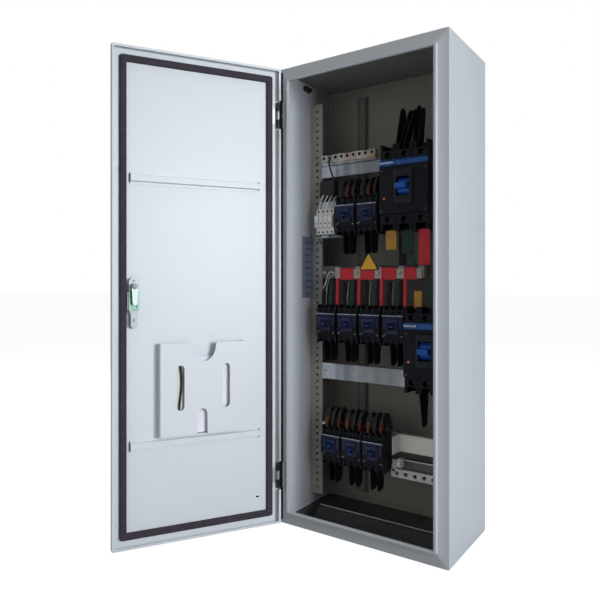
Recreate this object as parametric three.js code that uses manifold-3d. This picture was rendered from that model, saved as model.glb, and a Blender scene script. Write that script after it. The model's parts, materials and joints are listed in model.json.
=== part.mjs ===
// Sheet-steel power distribution (combiner) cabinet with its door, hinges,
// swing-handle lock, mounting rails, moulded-case breakers and busbar.
// Millimetres, +Z up, +X to the right seen from the front, +Y to the back.
// Origin: centre of the base, on the floor. The door stands open.
import * as THREE from 'three';
import { mergeVertices } from 'three/addons/utils/BufferGeometryUtils.js';
import Module from 'manifold-3d';

const wasm = await Module();
wasm.setup();

// ---------------------------------------------------------------- dimensions
const W = 600;              // cabinet width
const H = 1600;             // cabinet height
const YF = -185;            // front flange plane
const YB = 185;             // rear face of the back panel
const T = 2;                // body sheet
const OPEN_X = 254;         // half width of the door opening
const OPEN_Z0 = 48;         // door opening, bottom and top
const OPEN_Z1 = 1552;
const LIP = 10;             // raised lip round the opening, width and height

const DOOR_ANGLE = 118;     // how far the door stands open
const HX = -293;            // hinge axis
const HY = -198;
const DOOR_T = 1.5;         // door sheet
const DOOR_Y0 = -207.5;     // door front face, closed
const DOOR_Y1 = -188;       // back edge of the door's returns, closed
const DI = DOOR_Y0 + DOOR_T + 0.3; // what sits on the inside of the door starts here
const HINGE_Z = [1390, 124];
const HINGE_H = 90;
const PIN_R = 2.5;

const LX = 228;             // lock shaft axis, door closed
const LZ = 835;
const SHAFT_R = 6;

const RAIL_Y = 38;          // front face of the cross rails
const RAIL_X = 249.7;       // half length of a cross rail
const BACK_Y = RAIL_Y - 0.3;// back of everything bolted on the rails

// ------------------------------------------------------------------- helpers
function solid(geo) {
  for (const a of Object.keys(geo.attributes)) if (a !== 'position') geo.deleteAttribute(a);
  const g = mergeVertices(geo, 1e-4);
  let idx = g.index ? Array.from(g.index.array) : null;
  if (!idx) idx = Array.from({ length: g.attributes.position.count }, (_, i) => i);
  const tri = [];
  for (let i = 0; i < idx.length; i += 3) {
    if (idx[i] !== idx[i + 1] && idx[i + 1] !== idx[i + 2] && idx[i] !== idx[i + 2]) {
      tri.push(idx[i], idx[i + 1], idx[i + 2]);
    }
  }
  return new wasm.Manifold(new wasm.Mesh({
    numProp: 3,
    vertProperties: new Float32Array(g.attributes.position.array),
    triVerts: new Uint32Array(tri),
  }));
}
function box(x0, x1, y0, y1, z0, z1) {
  const g = new THREE.BoxGeometry(x1 - x0, y1 - y0, z1 - z0);
  g.translate((x0 + x1) / 2, (y0 + y1) / 2, (z0 + z1) / 2);
  return solid(g);
}
function cylY(x, z, r, y0, y1, n = 16) {
  const g = new THREE.CylinderGeometry(r, r, y1 - y0, n);
  g.translate(x, (y0 + y1) / 2, z);
  return solid(g);
}
function cylZ(x, y, r, z0, z1, n = 16) {
  const g = new THREE.CylinderGeometry(r, r, z1 - z0, n);
  g.rotateX(Math.PI / 2);
  g.translate(x, y, (z0 + z1) / 2);
  return solid(g);
}
function cylX(y, z, r, x0, x1, n = 16) {
  const g = new THREE.CylinderGeometry(r, r, x1 - x0, n);
  g.rotateZ(Math.PI / 2);
  g.translate((x0 + x1) / 2, y, z);
  return solid(g);
}
// outline in (x, z), run along Y
function prismY(points, y0, y1) {
  const s = new THREE.Shape(points.map(([x, z]) => new THREE.Vector2(x, -z)));
  const g = new THREE.ExtrudeGeometry(s, { depth: y1 - y0, bevelEnabled: false });
  g.rotateX(-Math.PI / 2);      // (x, -z, d) -> (x, d, z)
  g.translate(0, y0, 0);
  return solid(g);
}
// outline in (y, z), run along X
function prismX(points, x0, x1) {
  const s = new THREE.Shape(points.map(([y, z]) => new THREE.Vector2(y, z)));
  const g = new THREE.ExtrudeGeometry(s, { depth: x1 - x0, bevelEnabled: false });
  // (y, z, d) -> (d, y, z)
  g.applyMatrix4(new THREE.Matrix4().set(0, 0, 1, 0, 1, 0, 0, 0, 0, 1, 0, 0, 0, 0, 0, 1));
  g.translate(x0, 0, 0);
  return solid(g);
}
function roundRect(x0, x1, z0, z1, r, n = 3) {
  const p = [];
  const c = [[x1 - r, z0 + r, -90], [x1 - r, z1 - r, 0], [x0 + r, z1 - r, 90], [x0 + r, z0 + r, 180]];
  for (const [cx, cz, a0] of c) {
    for (let i = 0; i <= n; i++) {
      const a = (a0 + (90 * i) / n) * Math.PI / 180;
      p.push([cx + r * Math.cos(a), cz + r * Math.sin(a)]);
    }
  }
  return p;
}
const join = (list) => list.slice(1).reduce((a, b) => a.add(b), list[0]);
const cut = (a, list) => list.reduce((s, b) => s.subtract(b), a);

const STEEL_GREY = { color: 0xc7cac9, roughness: 0.5, metalness: 0.0 };
const GALV = { color: 0xb9bfc4, roughness: 0.4, metalness: 0.8 };
const BLACK_METAL = { color: 0x1b1b1c, roughness: 0.45, metalness: 0.3 };
const CHROME = { color: 0xc9ccd0, roughness: 0.15, metalness: 1.0 };
const RUBBER = { color: 0x3b3638, roughness: 0.9, metalness: 0.0 };
const CASE = { color: 0x1c1e24, roughness: 0.45, metalness: 0.0 };
const TOGGLE = { color: 0x2b4c9c, roughness: 0.4, metalness: 0.0 };
const CREAM = { color: 0xe2dccb, roughness: 0.5, metalness: 0.0 };
const WHITE = { color: 0xecebe6, roughness: 0.45, metalness: 0.0 };

function mesh(name, s, look) {
  const m = s.getMesh();
  const g = new THREE.BufferGeometry();
  const pos = new Float32Array(m.numVert * 3);
  for (let i = 0; i < m.numVert; i++) {
    for (let k = 0; k < 3; k++) pos[3 * i + k] = m.vertProperties[m.numProp * i + k];
  }
  g.setAttribute('position', new THREE.BufferAttribute(pos, 3));
  g.setIndex(new THREE.BufferAttribute(new Uint32Array(m.triVerts), 1));
  g.computeVertexNormals();
  const o = new THREE.Mesh(g, new THREE.MeshStandardMaterial(look));
  o.name = name;
  return o;
}

const group = new THREE.Group();

// ------------------------------------------------------------- cabinet shell
{
  const x = W / 2;
  const open = (d) => box(-OPEN_X - d, OPEN_X + d, -400, 0, OPEN_Z0 - d, OPEN_Z1 + d);
  let shell = box(-x, x, YF, YB - 2, 0, H);
  shell = cut(shell, [
    box(-x + T, x - T, YF + T, YB - 2 - T, T, H - T),     // hollow
    box(-280, 280, 100, 300, 20, H - 20),                  // rear rim opening
  ]);
  // raised lip: inner web, front face, short outer web
  let lip = box(-OPEN_X - LIP, OPEN_X + LIP, YF - LIP, YF + T, OPEN_Z0 - LIP, OPEN_Z1 + LIP);
  const groove = cut(
    box(-OPEN_X - LIP + 1.5, OPEN_X + LIP - 1.5, YF - LIP + 1.5, YF + 5, OPEN_Z0 - LIP + 1.5, OPEN_Z1 + LIP - 1.5),
    [box(-OPEN_X - 1.5, OPEN_X + 1.5, -400, 0, OPEN_Z0 - 1.5, OPEN_Z1 + 1.5)]);
  const rimGap = cut(
    box(-OPEN_X - LIP - 1, OPEN_X + LIP + 1, YF - 2.5, YF + 5, OPEN_Z0 - LIP - 1, OPEN_Z1 + LIP + 1),
    [box(-OPEN_X - 1.5, OPEN_X + 1.5, -400, 0, OPEN_Z0 - 1.5, OPEN_Z1 + 1.5)]);
  lip = cut(lip, [groove, rimGap]);
  shell = shell.add(lip);
  shell = cut(shell, [open(0), box(-250, 250, 55, 165, -10, 10)]);
  group.add(mesh('cabinet_shell', shell, STEEL_GREY));
}

// back panel with two folded stiffening ribs
{
  const parts = [box(-299, 299, YB - 1.7, YB, 1, H - 1)];
  for (const c of [-150, 150]) {
    parts.push(box(c - 15, c - 13.5, 173, YB - 1.6, 60, 1540));
    parts.push(box(c + 13.5, c + 15, 173, YB - 1.6, 60, 1540));
    parts.push(box(c - 15, c + 15, 173, 174.5, 60, 1540));
  }
  group.add(mesh('back_panel', join(parts), STEEL_GREY));
}

// plate closing the cable entry in the floor
group.add(mesh('gland_plate', box(-262, 262, 45, 175, T + 0.3, T + 2.3), GALV));

// --------------------------------------------- perforated uprights and rails
function upright(name, s) {
  const X = (a, b) => (s < 0 ? [-b, -a] : [a, b]);
  const b = (a, c, ...r) => box(...X(a, c), ...r);
  let u = join([
    b(250, 297.7, 40, 42, 45, 1525),
    b(295.7, 297.7, 40, 85, 45, 1525),
    b(250, 252, 40, 62, 45, 1525),
  ]);
  const holes = [];
  for (let i = 0; i < 58; i++) {
    const z = 72 + 25 * i;
    holes.push(b(266.5, 275.5, 38, 44, z - 4.5, z + 4.5));
  }
  u = u.subtract(join(holes));
  group.add(mesh(name, u, STEEL_GREY));
}
upright('upright_left', -1);
upright('upright_right', 1);

function rail(name, z0, z1) {
  group.add(mesh(name, join([
    box(-RAIL_X, RAIL_X, RAIL_Y, RAIL_Y + 2, z0, z1),
    box(-RAIL_X, RAIL_X, RAIL_Y, RAIL_Y + 18, z0, z0 + 2),
    box(-RAIL_X, RAIL_X, RAIL_Y, RAIL_Y + 18, z1 - 2, z1),
  ]), GALV));
}
rail('rail_top', 1241, 1284);
rail('rail_upper', 1062, 1104);
rail('rail_busbar', 862, 908);
rail('rail_middle', 676, 720);
rail('rail_lower', 486, 545);
rail('rail_bottom', 262, 322);
rail('rail_earth', 204, 238);

// angle bracket with a forward cheek, lower right
group.add(mesh('bracket_right', join([
  box(56, RAIL_X, BACK_Y - 2, BACK_Y, 262, 323),
  box(56, 58, -26, BACK_Y, 262, 323),
]), CREAM));

// neutral bar: drilled bar on two insulating legs
{
  const drill = [];
  for (let i = 0; i < 5; i++) drill.push(box(46 + 32 * i, 54 + 32 * i, 10, 40, 183, 191));
  group.add(mesh('neutral_bar', cut(join([
    box(30, 206, 25, 31, 173, 202),
    box(34, 44, 27, BACK_Y, 176, 232),
    box(190, 200, 27, BACK_Y, 176, 232),
  ]), drill), GALV));
}

// row of insulated terminals above the top rail
{
  const parts = [box(-242, -26, 24, 42, 1284.3, 1292)];
  const drill = [];
  for (let i = 0; i < 9; i++) {
    const x0 = -242 + 24 * i;
    parts.push(box(x0, x0 + 24, 18, 42, 1291, 1321 - (i % 3 === 1 ? 2 : 0)));
    drill.push(box(x0 + 8, x0 + 16, 10, 28, 1300, 1312));
  }
  group.add(mesh('terminal_strip', cut(join(parts), drill), CREAM));
}

// modular surge-protection unit on its bracket
{
  const parts = [];
  for (let i = 0; i < 4; i++) {
    const x0 = -240 + 18 * i;
    parts.push(box(x0, x0 + 18, -20, 25, 1024, 1117));
    parts.push(box(x0 + 0.6, x0 + 17.4, -38, -19, 1046, 1096));
  }
  group.add(mesh('surge_unit', join(parts), WHITE));
}
group.add(mesh('surge_bracket', join([
  box(-249.4, -160, 25.7, BACK_Y, 1012, 1150),
  box(-249.4, -160, -14, BACK_Y, 1012, 1014),
]), GALV));

// narrow wiring cover on the left wall
group.add(mesh('wiring_cover', box(-297.7, -288, -28, 36, 790, 1020), { color: 0x8088b0, roughness: 0.6, metalness: 0.0 }));

// horizontal busbar with its post insulators
{
  const parts = [box(-172, 150, -4, 2, 857, 899)];
  for (const c of [-166, -86, -6, 74, 144]) parts.push(box(c - 6, c + 6, -6, BACK_Y, 866, 904));
  group.add(mesh('busbar_red', join(parts), { color: 0xb03a35, roughness: 0.5, metalness: 0.0 }));
}

// ------------------------------------------------------------------ breakers
// Moulded case: back at BACK_Y, raised escutcheon with a window, a pocket
// behind it for the toggle's drum, and thin barriers between the poles.
function breaker(name, cx, z0, o) {
  const { w, h, yf, pitch, termH, step, esc, escW, escH, winH, winW, drum, tip, tw, tt, up, down } = o;
  const zc = z0 + h / 2 + (o.dz || 0);
  const ye = yf - esc;                     // escutcheon face
  const wall = 3;
  const yp = ye + wall + drum + 0.4;       // toggle pivot
  const parts = [
    box(cx - w / 2, cx + w / 2, yf, BACK_Y, z0 + termH, z0 + h - termH),
    box(cx - w / 2, cx + w / 2, yf + step, BACK_Y, z0, z0 + h),
    box(cx - escW / 2, cx + escW / 2, ye, yf + 1, zc - escH / 2, zc + escH / 2),
  ];
  for (const s of [-0.5, 0.5]) {
    const x = cx + s * pitch;
    if (down) {
      parts.push(prismX([[yf + step + 3, z0 + 4], [BACK_Y - 12, z0 + 4], [BACK_Y - 12, z0 - down * 0.55],
        [BACK_Y - 30, z0 - down], [yf + step + 14, z0 - down]], x - 1, x + 1));
    }
    if (up) {
      const zt = z0 + h;
      parts.push(prismX([[yf + step + 3, zt - 4], [yf + step + 22, zt + up], [BACK_Y - 34, zt + up],
        [BACK_Y - 12, zt + up * 0.6], [BACK_Y - 12, zt - 4]], x - 1, x + 1));
    }
  }
  let body = join(parts);
  const cuts = [
    box(cx - winW / 2, cx + winW / 2, ye - 5, ye + wall + 1, zc - winH / 2, zc + winH / 2),
    box(cx - winW / 2, cx + winW / 2, ye + wall, yp + drum + 0.6, zc - drum - 0.6, zc + drum + 0.6),
  ];
  if (o.holes) {
    for (const s of [-1, 0, 1]) {
      const x = cx + s * pitch;
      for (const z of [z0 + termH * 0.45, z0 + h - termH * 0.45]) {
        cuts.push(cylY(x, z, o.holes, yf - 5, yf + step + 14, 8));
      }
    }
  }
  body = cut(body, cuts);
  group.add(mesh(name + '_case', body, CASE));
  // toggle: drum on the pivot line and a block handle
  const a = cylX(yp, zc, drum, cx - tw / 2, cx + tw / 2, 20);
  const hdl = box(cx - o.hw / 2, cx + o.hw / 2, yp - tip, yp - drum * 0.5, zc - tt / 2, zc + tt / 2);
  group.add(mesh(name + '_toggle', a.add(hdl), TOGGLE));
}
const SMALL = { w: 76, h: 137, yf: -38, pitch: 24, termH: 31, step: 9, esc: 4, escW: 44, escH: 50,
  winH: 19, winW: 13, drum: 12, tip: 25, tw: 12, tt: 8, hw: 11.4, down: 62 };
const BIG_A = { w: 166, h: 290, yf: -62, pitch: 57, termH: 56, step: 10, esc: 5, escW: 66, escH: 116,
  winH: 62, winW: 42, drum: 34, tip: 58, tw: 40, tt: 24, hw: 38, up: 118, holes: 8 };
const BIG_B = { w: 144, h: 284, yf: -62, pitch: 48, termH: 54, step: 10, esc: 5, escW: 60, escH: 108,
  winH: 62, winW: 40, drum: 34, tip: 58, tw: 38, tt: 24, hw: 36, down: 98, holes: 7 };

breaker('main_breaker', 108, 1021, BIG_A);
breaker('tie_breaker', 181, 483, BIG_B);
breaker('upper_breaker_1', -117, 1018, SMALL);
breaker('upper_breaker_2', -34, 1018, SMALL);
breaker('middle_breaker_1', -194, 630, SMALL);
breaker('middle_breaker_2', -109, 630, SMALL);
breaker('middle_breaker_3', -24, 630, SMALL);
breaker('middle_breaker_4', 61, 630, SMALL);
breaker('lower_breaker_1', -174, 190, SMALL);
breaker('lower_breaker_2', -93, 190, SMALL);
breaker('lower_breaker_3', -12, 190, SMALL);

// --------------------------------------------------------------------- hinges
// Outer knuckles and their leaf are on the frame, the middle knuckle and its
// leaf on the door, and one pin runs through all three.
const BORE_R = PIN_R + 0.09;
const door = new THREE.Group();             // turned about the hinge axis
door.position.set(HX, HY, 0);
door.rotation.z = -DOOR_ANGLE * Math.PI / 180;
const doorIn = new THREE.Group();           // its children stand in closed-door coordinates
doorIn.position.set(-HX, -HY, 0);
door.add(doorIn);
group.add(door);

HINGE_Z.forEach((z0, i) => {
  const tag = i === 0 ? 'hinge_upper' : 'hinge_lower';
  const third = HINGE_H / 3;
  let leaf = box(HX, HX + 23, -188, YF - 0.3, z0, z0 + HINGE_H);
  for (const [a, b] of [[z0, z0 + third - 0.2], [z0 + 2 * third + 0.2, z0 + HINGE_H]]) {
    leaf = leaf.add(cylZ(HX, HY, 5.5, a, b, 20)).add(box(HX, HX + 5.4, HY, -187, a, b));
  }
  leaf = leaf.subtract(cylZ(HX, HY, BORE_R, z0 - 5, z0 + HINGE_H + 5, 20));
  group.add(mesh(tag + '_frame_leaf', leaf, BLACK_METAL));

  let dl = cylZ(HX, HY, 5.5, z0 + third + 0.2, z0 + 2 * third - 0.2, 20)
    .add(box(HX, HX + 5.4, DI, HY, z0 + third + 0.2, z0 + 2 * third - 0.2))
    .add(box(HX, HX + 19, DI, DI + 1.5, z0 + third - 12, z0 + 2 * third + 12));
  dl = dl.subtract(cylZ(HX, HY, BORE_R, z0 - 5, z0 + HINGE_H + 5, 20));
  doorIn.add(mesh(tag + '_door_leaf', dl, GALV));

  group.add(mesh(tag + '_pin', cylZ(HX, HY, PIN_R, z0 - 1.5, z0 + HINGE_H + 0.5, 20)
    .add(cylZ(HX, HY, 4, z0 + HINGE_H + 0.3, z0 + HINGE_H + 2.3, 20)), CHROME));
});

// ----------------------------------------------------------------------- door
{
  let pan = box(-W / 2, W / 2, DOOR_Y0, DOOR_Y1, 3, H - 3);
  pan = cut(pan, [
    box(-W / 2 + DOOR_T, W / 2 - DOOR_T, DOOR_Y0 + DOOR_T, 0, 3 + DOOR_T, H - 3 - DOOR_T),
    box(LX - 14, LX + 14, -300, 0, 697, 848),                 // lock cut-out
    ...HINGE_Z.map((z0) => box(-W / 2 - 5, -W / 2 + DOOR_T + 0.1, DOOR_Y0 + DOOR_T, 0, z0 - 4, z0 + HINGE_H + 6)),
  ]);
  doorIn.add(mesh('door_panel', pan, STEEL_GREY));

  const gy = YF - LIP - 0.4;
  doorIn.add(mesh('door_gasket', cut(box(-272, 272, DI, gy, 30, 1570), [box(-250, 250, -400, 0, 52, 1548)]), RUBBER));

  for (const [name, z0] of [['stiffener_upper', 1161], ['stiffener_lower', 305]]) {
    doorIn.add(mesh(name, join([
      box(-220, 238, DI, DI + 1.5, z0, z0 + 10),
      box(-220, 238, DI, DI + 1.5, z0 + 30, z0 + 40),
      box(-220, 238, DI, DI + 11, z0 + 8.5, z0 + 10),
      box(-220, 238, DI, DI + 11, z0 + 30, z0 + 31.5),
      box(-220, 238, DI + 9.5, DI + 11, z0 + 8.5, z0 + 31.5),
    ]), STEEL_GREY));
  }

  // document pocket: scooped top edge, two long slots, notch in the bottom
  const x0 = -154, x1 = 145, zb = 348, zt = 650, yo = DI + 28;
  const xm = (x0 + x1) / 2;
  const scoop = [];
  for (let i = 0; i <= 10; i++) {
    const a = Math.PI + (Math.PI * i) / 10;
    scoop.push([xm + 43 * Math.cos(a), 640 + 52 * Math.sin(a)]);
  }
  scoop.push([xm + 43, 700], [xm - 43, 700]);
  doorIn.add(mesh('document_pocket', cut(box(x0, x1, DI, yo, zb, zt), [
    box(x0 + 1.8, x1 - 1.8, -400, yo - 1.8, zb + 1.8, 900),
    prismY(scoop, yo - 10, yo + 10),
    box(xm + 68, xm + 94, yo - 10, yo + 10, 431, 577),
    box(xm - 94, xm - 68, yo - 10, yo + 10, 431, 577),
    box(xm - 13, xm + 22, DI + 6, yo + 10, zb - 5, 430),
  ]), STEEL_GREY));
}

// ----------------------------------------------------------------------- lock
{
  const yp0 = -211.8, yp1 = -207.8;            // face plate
  doorIn.add(mesh('lock_faceplate', cut(prismY(roundRect(LX - 20, LX + 20, 688.5, 851.5, 5), yp0, yp1), [
    cylY(LX, LZ, SHAFT_R + 0.15, -300, 0, 20),
    box(LX - 9, LX + 9, -300, 0, 708, 733),
  ]), CHROME));
  doorIn.add(mesh('lock_body', cut(join([
    box(LX - 17, LX - 15, DI, -190, 700, 850),
    box(LX + 15, LX + 17, DI, -190, 700, 850),
    box(LX - 17, LX + 17, -192, -190, 700, 850),
  ]), [cylY(LX, LZ, SHAFT_R + 0.15, -300, 0, 20)]), { color: 0xa3ab97, roughness: 0.45, metalness: 0.7 }));

  // push button with the key barrel in it
  doorIn.add(mesh('release_button', cut(box(LX - 8.7, LX + 8.7, -216, -201, 708.3, 732.7), [
    cylY(LX, 717, 5.3, -300, 0, 20),
  ]), { color: 0x161617, roughness: 0.4, metalness: 0.0 }));
  doorIn.add(mesh('key_core', cut(cylY(LX, 717, 5.05, -216.4, -204, 20), [
    box(LX - 0.8, LX + 0.8, -220, -211, 713.5, 720.5),
  ]), CHROME));

  // the swinging pieces: drawn stowed, then turned about the shaft
  const turn = new THREE.Group();
  turn.position.set(LX, 0, LZ);
  turn.rotation.y = Math.PI / 2;
  const t = new THREE.Group();
  t.position.set(-LX, 0, -LZ);
  turn.add(t);
  doorIn.add(turn);

  const py = -220;                             // lift pin height over the plate
  const pivot = cut(join([
    cylY(LX, LZ, 11, -215.8, -212.1, 24),
    cylY(LX, LZ, SHAFT_R, -212.2, -176, 20),
    box(LX - 4, LX + 4, -224, -215.7, LZ - 5.5, LZ + 5.5),
  ]), [cylX(py, LZ, 2.09, -300, 300, 16)]);
  t.add(mesh('handle_pivot', pivot, CHROME));
  t.add(mesh('lift_pin', cylX(py, LZ, 2, LX - 12.5, LX + 12.5, 16), GALV));

  const lever = cut(join([
    prismY(roundRect(LX - 12, LX + 12, 735, 822.5, 4), -224.5, -213),
    box(LX - 12, LX - 4.5, -223.7, -216.3, 815, LZ),
    box(LX + 4.5, LX + 12, -223.7, -216.3, 815, LZ),
    cylX(py, LZ, 3.7, LX - 12, LX - 4.5, 16),
    cylX(py, LZ, 3.7, LX + 4.5, LX + 12, 16),
  ]), [cylX(py, LZ, 2.09, -300, 300, 16)]);
  t.add(mesh('handle_lever', lever, CHROME));

  const cam = [];
  for (let i = 0; i <= 8; i++) {
    const a = Math.PI / 2 + (Math.PI * i) / 8;
    cam.push([LX + 11 * Math.cos(a), LZ + 11 * Math.sin(a)]);
  }
  for (let i = 0; i <= 6; i++) {
    const a = -Math.PI / 2 + (Math.PI * i) / 6;
    cam.push([LX + 52 + 8 * Math.cos(a), LZ + 8 * Math.sin(a)]);
  }
  t.add(mesh('latch_cam', cut(prismY(cam, -182, -178), [cylY(LX, LZ, SHAFT_R + 0.15, -300, 0, 20)]), GALV));
}

export default group;
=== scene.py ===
import json
from math import cos, pi, radians, sin
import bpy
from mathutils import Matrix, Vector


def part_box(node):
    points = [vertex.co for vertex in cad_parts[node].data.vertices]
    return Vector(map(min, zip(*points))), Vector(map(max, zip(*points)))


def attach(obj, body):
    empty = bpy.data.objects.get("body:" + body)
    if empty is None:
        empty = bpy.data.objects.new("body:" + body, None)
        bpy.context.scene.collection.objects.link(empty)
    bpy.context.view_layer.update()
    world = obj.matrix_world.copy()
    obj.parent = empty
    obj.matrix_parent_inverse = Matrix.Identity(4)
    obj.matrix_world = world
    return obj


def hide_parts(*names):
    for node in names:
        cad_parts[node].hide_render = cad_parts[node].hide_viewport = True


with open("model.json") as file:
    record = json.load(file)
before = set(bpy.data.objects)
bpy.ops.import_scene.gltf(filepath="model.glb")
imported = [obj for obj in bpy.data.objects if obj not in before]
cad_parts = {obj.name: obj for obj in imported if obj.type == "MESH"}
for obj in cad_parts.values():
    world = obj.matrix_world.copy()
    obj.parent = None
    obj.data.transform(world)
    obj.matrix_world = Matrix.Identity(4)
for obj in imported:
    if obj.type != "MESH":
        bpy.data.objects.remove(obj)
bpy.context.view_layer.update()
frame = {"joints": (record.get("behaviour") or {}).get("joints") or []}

from types import SimpleNamespace

import bmesh
import bpy
from mathutils import Matrix, Vector

MM = 0.001
JOINTS = {j["name"]: j for j in frame["joints"]}

# ------------------------------------------------------------------ placement


def mm_box(node):
    """Lowest and highest corners of a CAD node at rest, in millimetres."""
    lo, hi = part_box(node)
    return [c / MM for c in (*lo, *hi)]


HINGE = Vector(JOINTS["door_hinge"]["pos_m"]) / MM
OPEN_DEG = JOINTS["door_hinge"]["range_deg"][0]
HX, HY = HINGE.x, HINGE.y
AX = Vector((HX, HY, 0))
# closed-door coordinates to where the door stands at rest
DOOR = Matrix.Translation(AX) @ Matrix.Rotation(radians(OPEN_DEG), 4, "Z") @ Matrix.Translation(-AX)
SWING = DOOR.inverted() @ (Vector(JOINTS["handle_swing"]["pos_m"]) / MM)
LX, LZ = SWING.x, SWING.z
LOCK = Vector((LX, 0, LZ))
# stowed-handle coordinates to where the handle stands at rest
HANDLE = DOOR @ Matrix.Translation(LOCK) @ Matrix.Rotation(radians(90), 4, "Y") @ Matrix.Translation(-LOCK)
KEY = DOOR.inverted() @ (Vector(JOINTS["key_turn"]["pos_m"]) / MM)

SHELL = mm_box("cabinet_shell")
X1, H, YLIP = SHELL[3], SHELL[5], SHELL[1]
# front flange, and back of the cabinet
YF = YLIP + 10
YB = mm_box("back_panel")[4]
# door opening: half width, sill and head
OX, OZ0, OZ1 = 254, 48, 1552
# closed door along Y: outer skin, end of the folded edge, inner skin
DY0, DY1, DI = -207.5, -188, -206

# ------------------------------------------------------------------ materials


def principled(name):
    """A new material with its node tree and its shader."""
    m = bpy.data.materials.new(name)
    m.use_nodes = True
    nt = m.node_tree
    return m, nt, nt.nodes["Principled BSDF"]


def connect(nt, n, **kw):
    """Gives each named input a value or a link; a name that is no input is a setting of the node."""
    for k, v in kw.items():
        key = k.replace("_", " ")
        if key not in n.inputs:
            setattr(n, k, v)
        elif isinstance(v, bpy.types.NodeSocket):
            nt.links.new(v, n.inputs[key])
        else:
            n.inputs[key].default_value = v
    return n


def node(nt, kind, **kw):
    return connect(nt, nt.nodes.new("ShaderNode" + kind), **kw)


def coords(nt, scale=(1, 1, 1)):
    place = node(nt, "TexCoord").outputs["Object"]
    return node(nt, "Mapping", Scale=scale, Vector=place).outputs["Vector"]


def noise(nt, v, scale, detail, rough=0.5):
    return node(nt, "TexNoise", Vector=v, Scale=scale, Detail=detail, Roughness=rough).outputs["Fac"]


def ramp(nt, fac, stops):
    """A colour ramp between two stops, each (position, colour)."""
    n = node(nt, "ValToRGB", Fac=fac)
    for stop, (at, col) in zip(n.color_ramp.elements, stops):
        stop.position, stop.color = at, (*col, 1)
    return n.outputs["Color"]


def between(nt, value, lo, hi, **kw):
    return node(nt, "MapRange", Value=value, To_Min=lo, To_Max=hi, **kw).outputs["Result"]


def mixed(nt, factor, a, b, **kw):
    return node(nt, "Mix", data_type="RGBA", **kw, Factor=factor, A=a, B=b).outputs["Result"]


def product(nt, value, factor):
    n = node(nt, "Math", operation="MULTIPLY", Value=value)
    n.inputs[1].default_value = factor
    return n.outputs[0]


def relief(nt, height, strength, depth):
    return node(nt, "Bump", Strength=strength, Distance=depth, Height=height).outputs["Normal"]


def surface(name, col, rough=0.45, metal=0, grain=900, grain_depth=0.00003, vary=0.05, patch=9,
        rough_vary=0.08, coat=0, spec=0.5, wear=0):
    """Colour that drifts slightly, uneven gloss, and a fine surface grain; wear lightens the edges."""
    m, nt, b = principled(name)
    v = coords(nt)
    big = noise(nt, v, patch, 4, 0.6)
    colour = ramp(nt, big, ((0.3, [c * (1 - vary) for c in col]),
        (0.7, [min(1, c * (1 + vary)) for c in col])))
    if wear:
        edge = node(nt, "NewGeometry").outputs["Pointiness"]
        edge = product(nt, ramp(nt, edge, ((0.52, (0, 0, 0)), (0.62, (1, 1, 1)))), wear)
        colour = mixed(nt, edge, colour, (*(min(1, c * 1.6 + 0.05) for c in col), 1))
    connect(nt, b, Base_Color=colour, Metallic=metal, Specular_IOR_Level=spec, Roughness=between(nt, big,
        max(0.03, rough - rough_vary), min(1, rough + rough_vary)), Normal=relief(nt, noise(nt, v, grain, 3,
        0.55), 0.5, grain_depth))
    if coat:
        connect(nt, b, Coat_Weight=coat, Coat_Roughness=0.12)
    return m


def spangle(name, col, rough=0.3, band=0.45):
    """Bright zinc: brushed streaks over faint crystal patches, and slow stripes along X of painted sheen
    that darken the colour between the bright stretches.
    """
    m, nt, b = principled(name)
    cells = node(nt, "TexVoronoi", Scale=70, Vector=coords(nt)).outputs["Color"]
    streak = noise(nt, coords(nt, (6, 400, 400)), 3, 6)
    # painted sheen: slow stripes that multiply the colour darker, standing in for reflections
    bands = noise(nt, coords(nt, (11, 0.2, 0.2)), 1, 2)
    tone = ramp(nt, cells, ((0, [c * 0.88 for c in col]), (1, col)))
    shade = ramp(nt, bands, ((0.4, (1 - band, 1 - band, 1 - band * 0.92)), (0.58, (1, 1, 1))))
    connect(nt, b, Base_Color=mixed(nt, 1, tone, shade, blend_type="MULTIPLY"), Metallic=0.8,
        Roughness=between(nt, streak, rough - 0.1, rough + 0.12), Normal=relief(nt, streak, 0.35, 0.00004))
    return m


def wall_coat(name, front, rear, y_front, y_rear):
    """Powder coat with painted shade: it darkens from the door opening towards the back; distances in
    metres along Y.
    """
    m, nt, b = principled(name)
    v = coords(nt)
    y = node(nt, "SeparateXYZ", Vector=v).outputs["Y"]
    depth = between(nt, y, 0, 1, interpolation_type="SMOOTHSTEP", From_Min=y_front, From_Max=y_rear)
    connect(nt, b, Base_Color=mixed(nt, depth, (*front, 1), (*rear, 1)), Roughness=0.45,
        Normal=relief(nt, noise(nt, v, 1400, 3), 0.5, 0.00006))
    return m


# finishes that several materials share
POWDER = dict(vary=0.02, grain=1400, grain_depth=0.00006, patch=3)
POWDER_IN = dict(POWDER, vary=0.03)
MOULDED = dict(grain=2200, grain_depth=0.00008, spec=0.2)
SLEEVE = dict(patch=40, grain=500, grain_depth=0.0001)
PAINT = surface("grey_powder_coat", (0.68, 0.71, 0.73), 0.42, **POWDER)
# the door's paint made darker for the cabinet body and the painted part of the hinge leaves: painted shade
PAINT_BODY_SHADED = surface("grey_powder_coat_body", (0.465, 0.488, 0.508), 0.42, **POWDER)
# darker, warmer grey for the back panel and the inside faces that look to the front: painted shade
PAINT_SHADE_INSIDE = surface("grey_powder_coat_painted_shade_inside", (0.31, 0.288, 0.252), 0.5, **POWDER_IN)
# darker than the back panel: painted shade on the ribs
RIB_SHADE = surface("rib_painted_shade", (0.2, 0.187, 0.166), 0.5, grain=1400)
# darker grey for the inside of the top: painted shade
CEILING_SHADE = surface("inside_top_painted_shade", (0.18, 0.183, 0.174), 0.5, **POWDER_IN)
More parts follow.
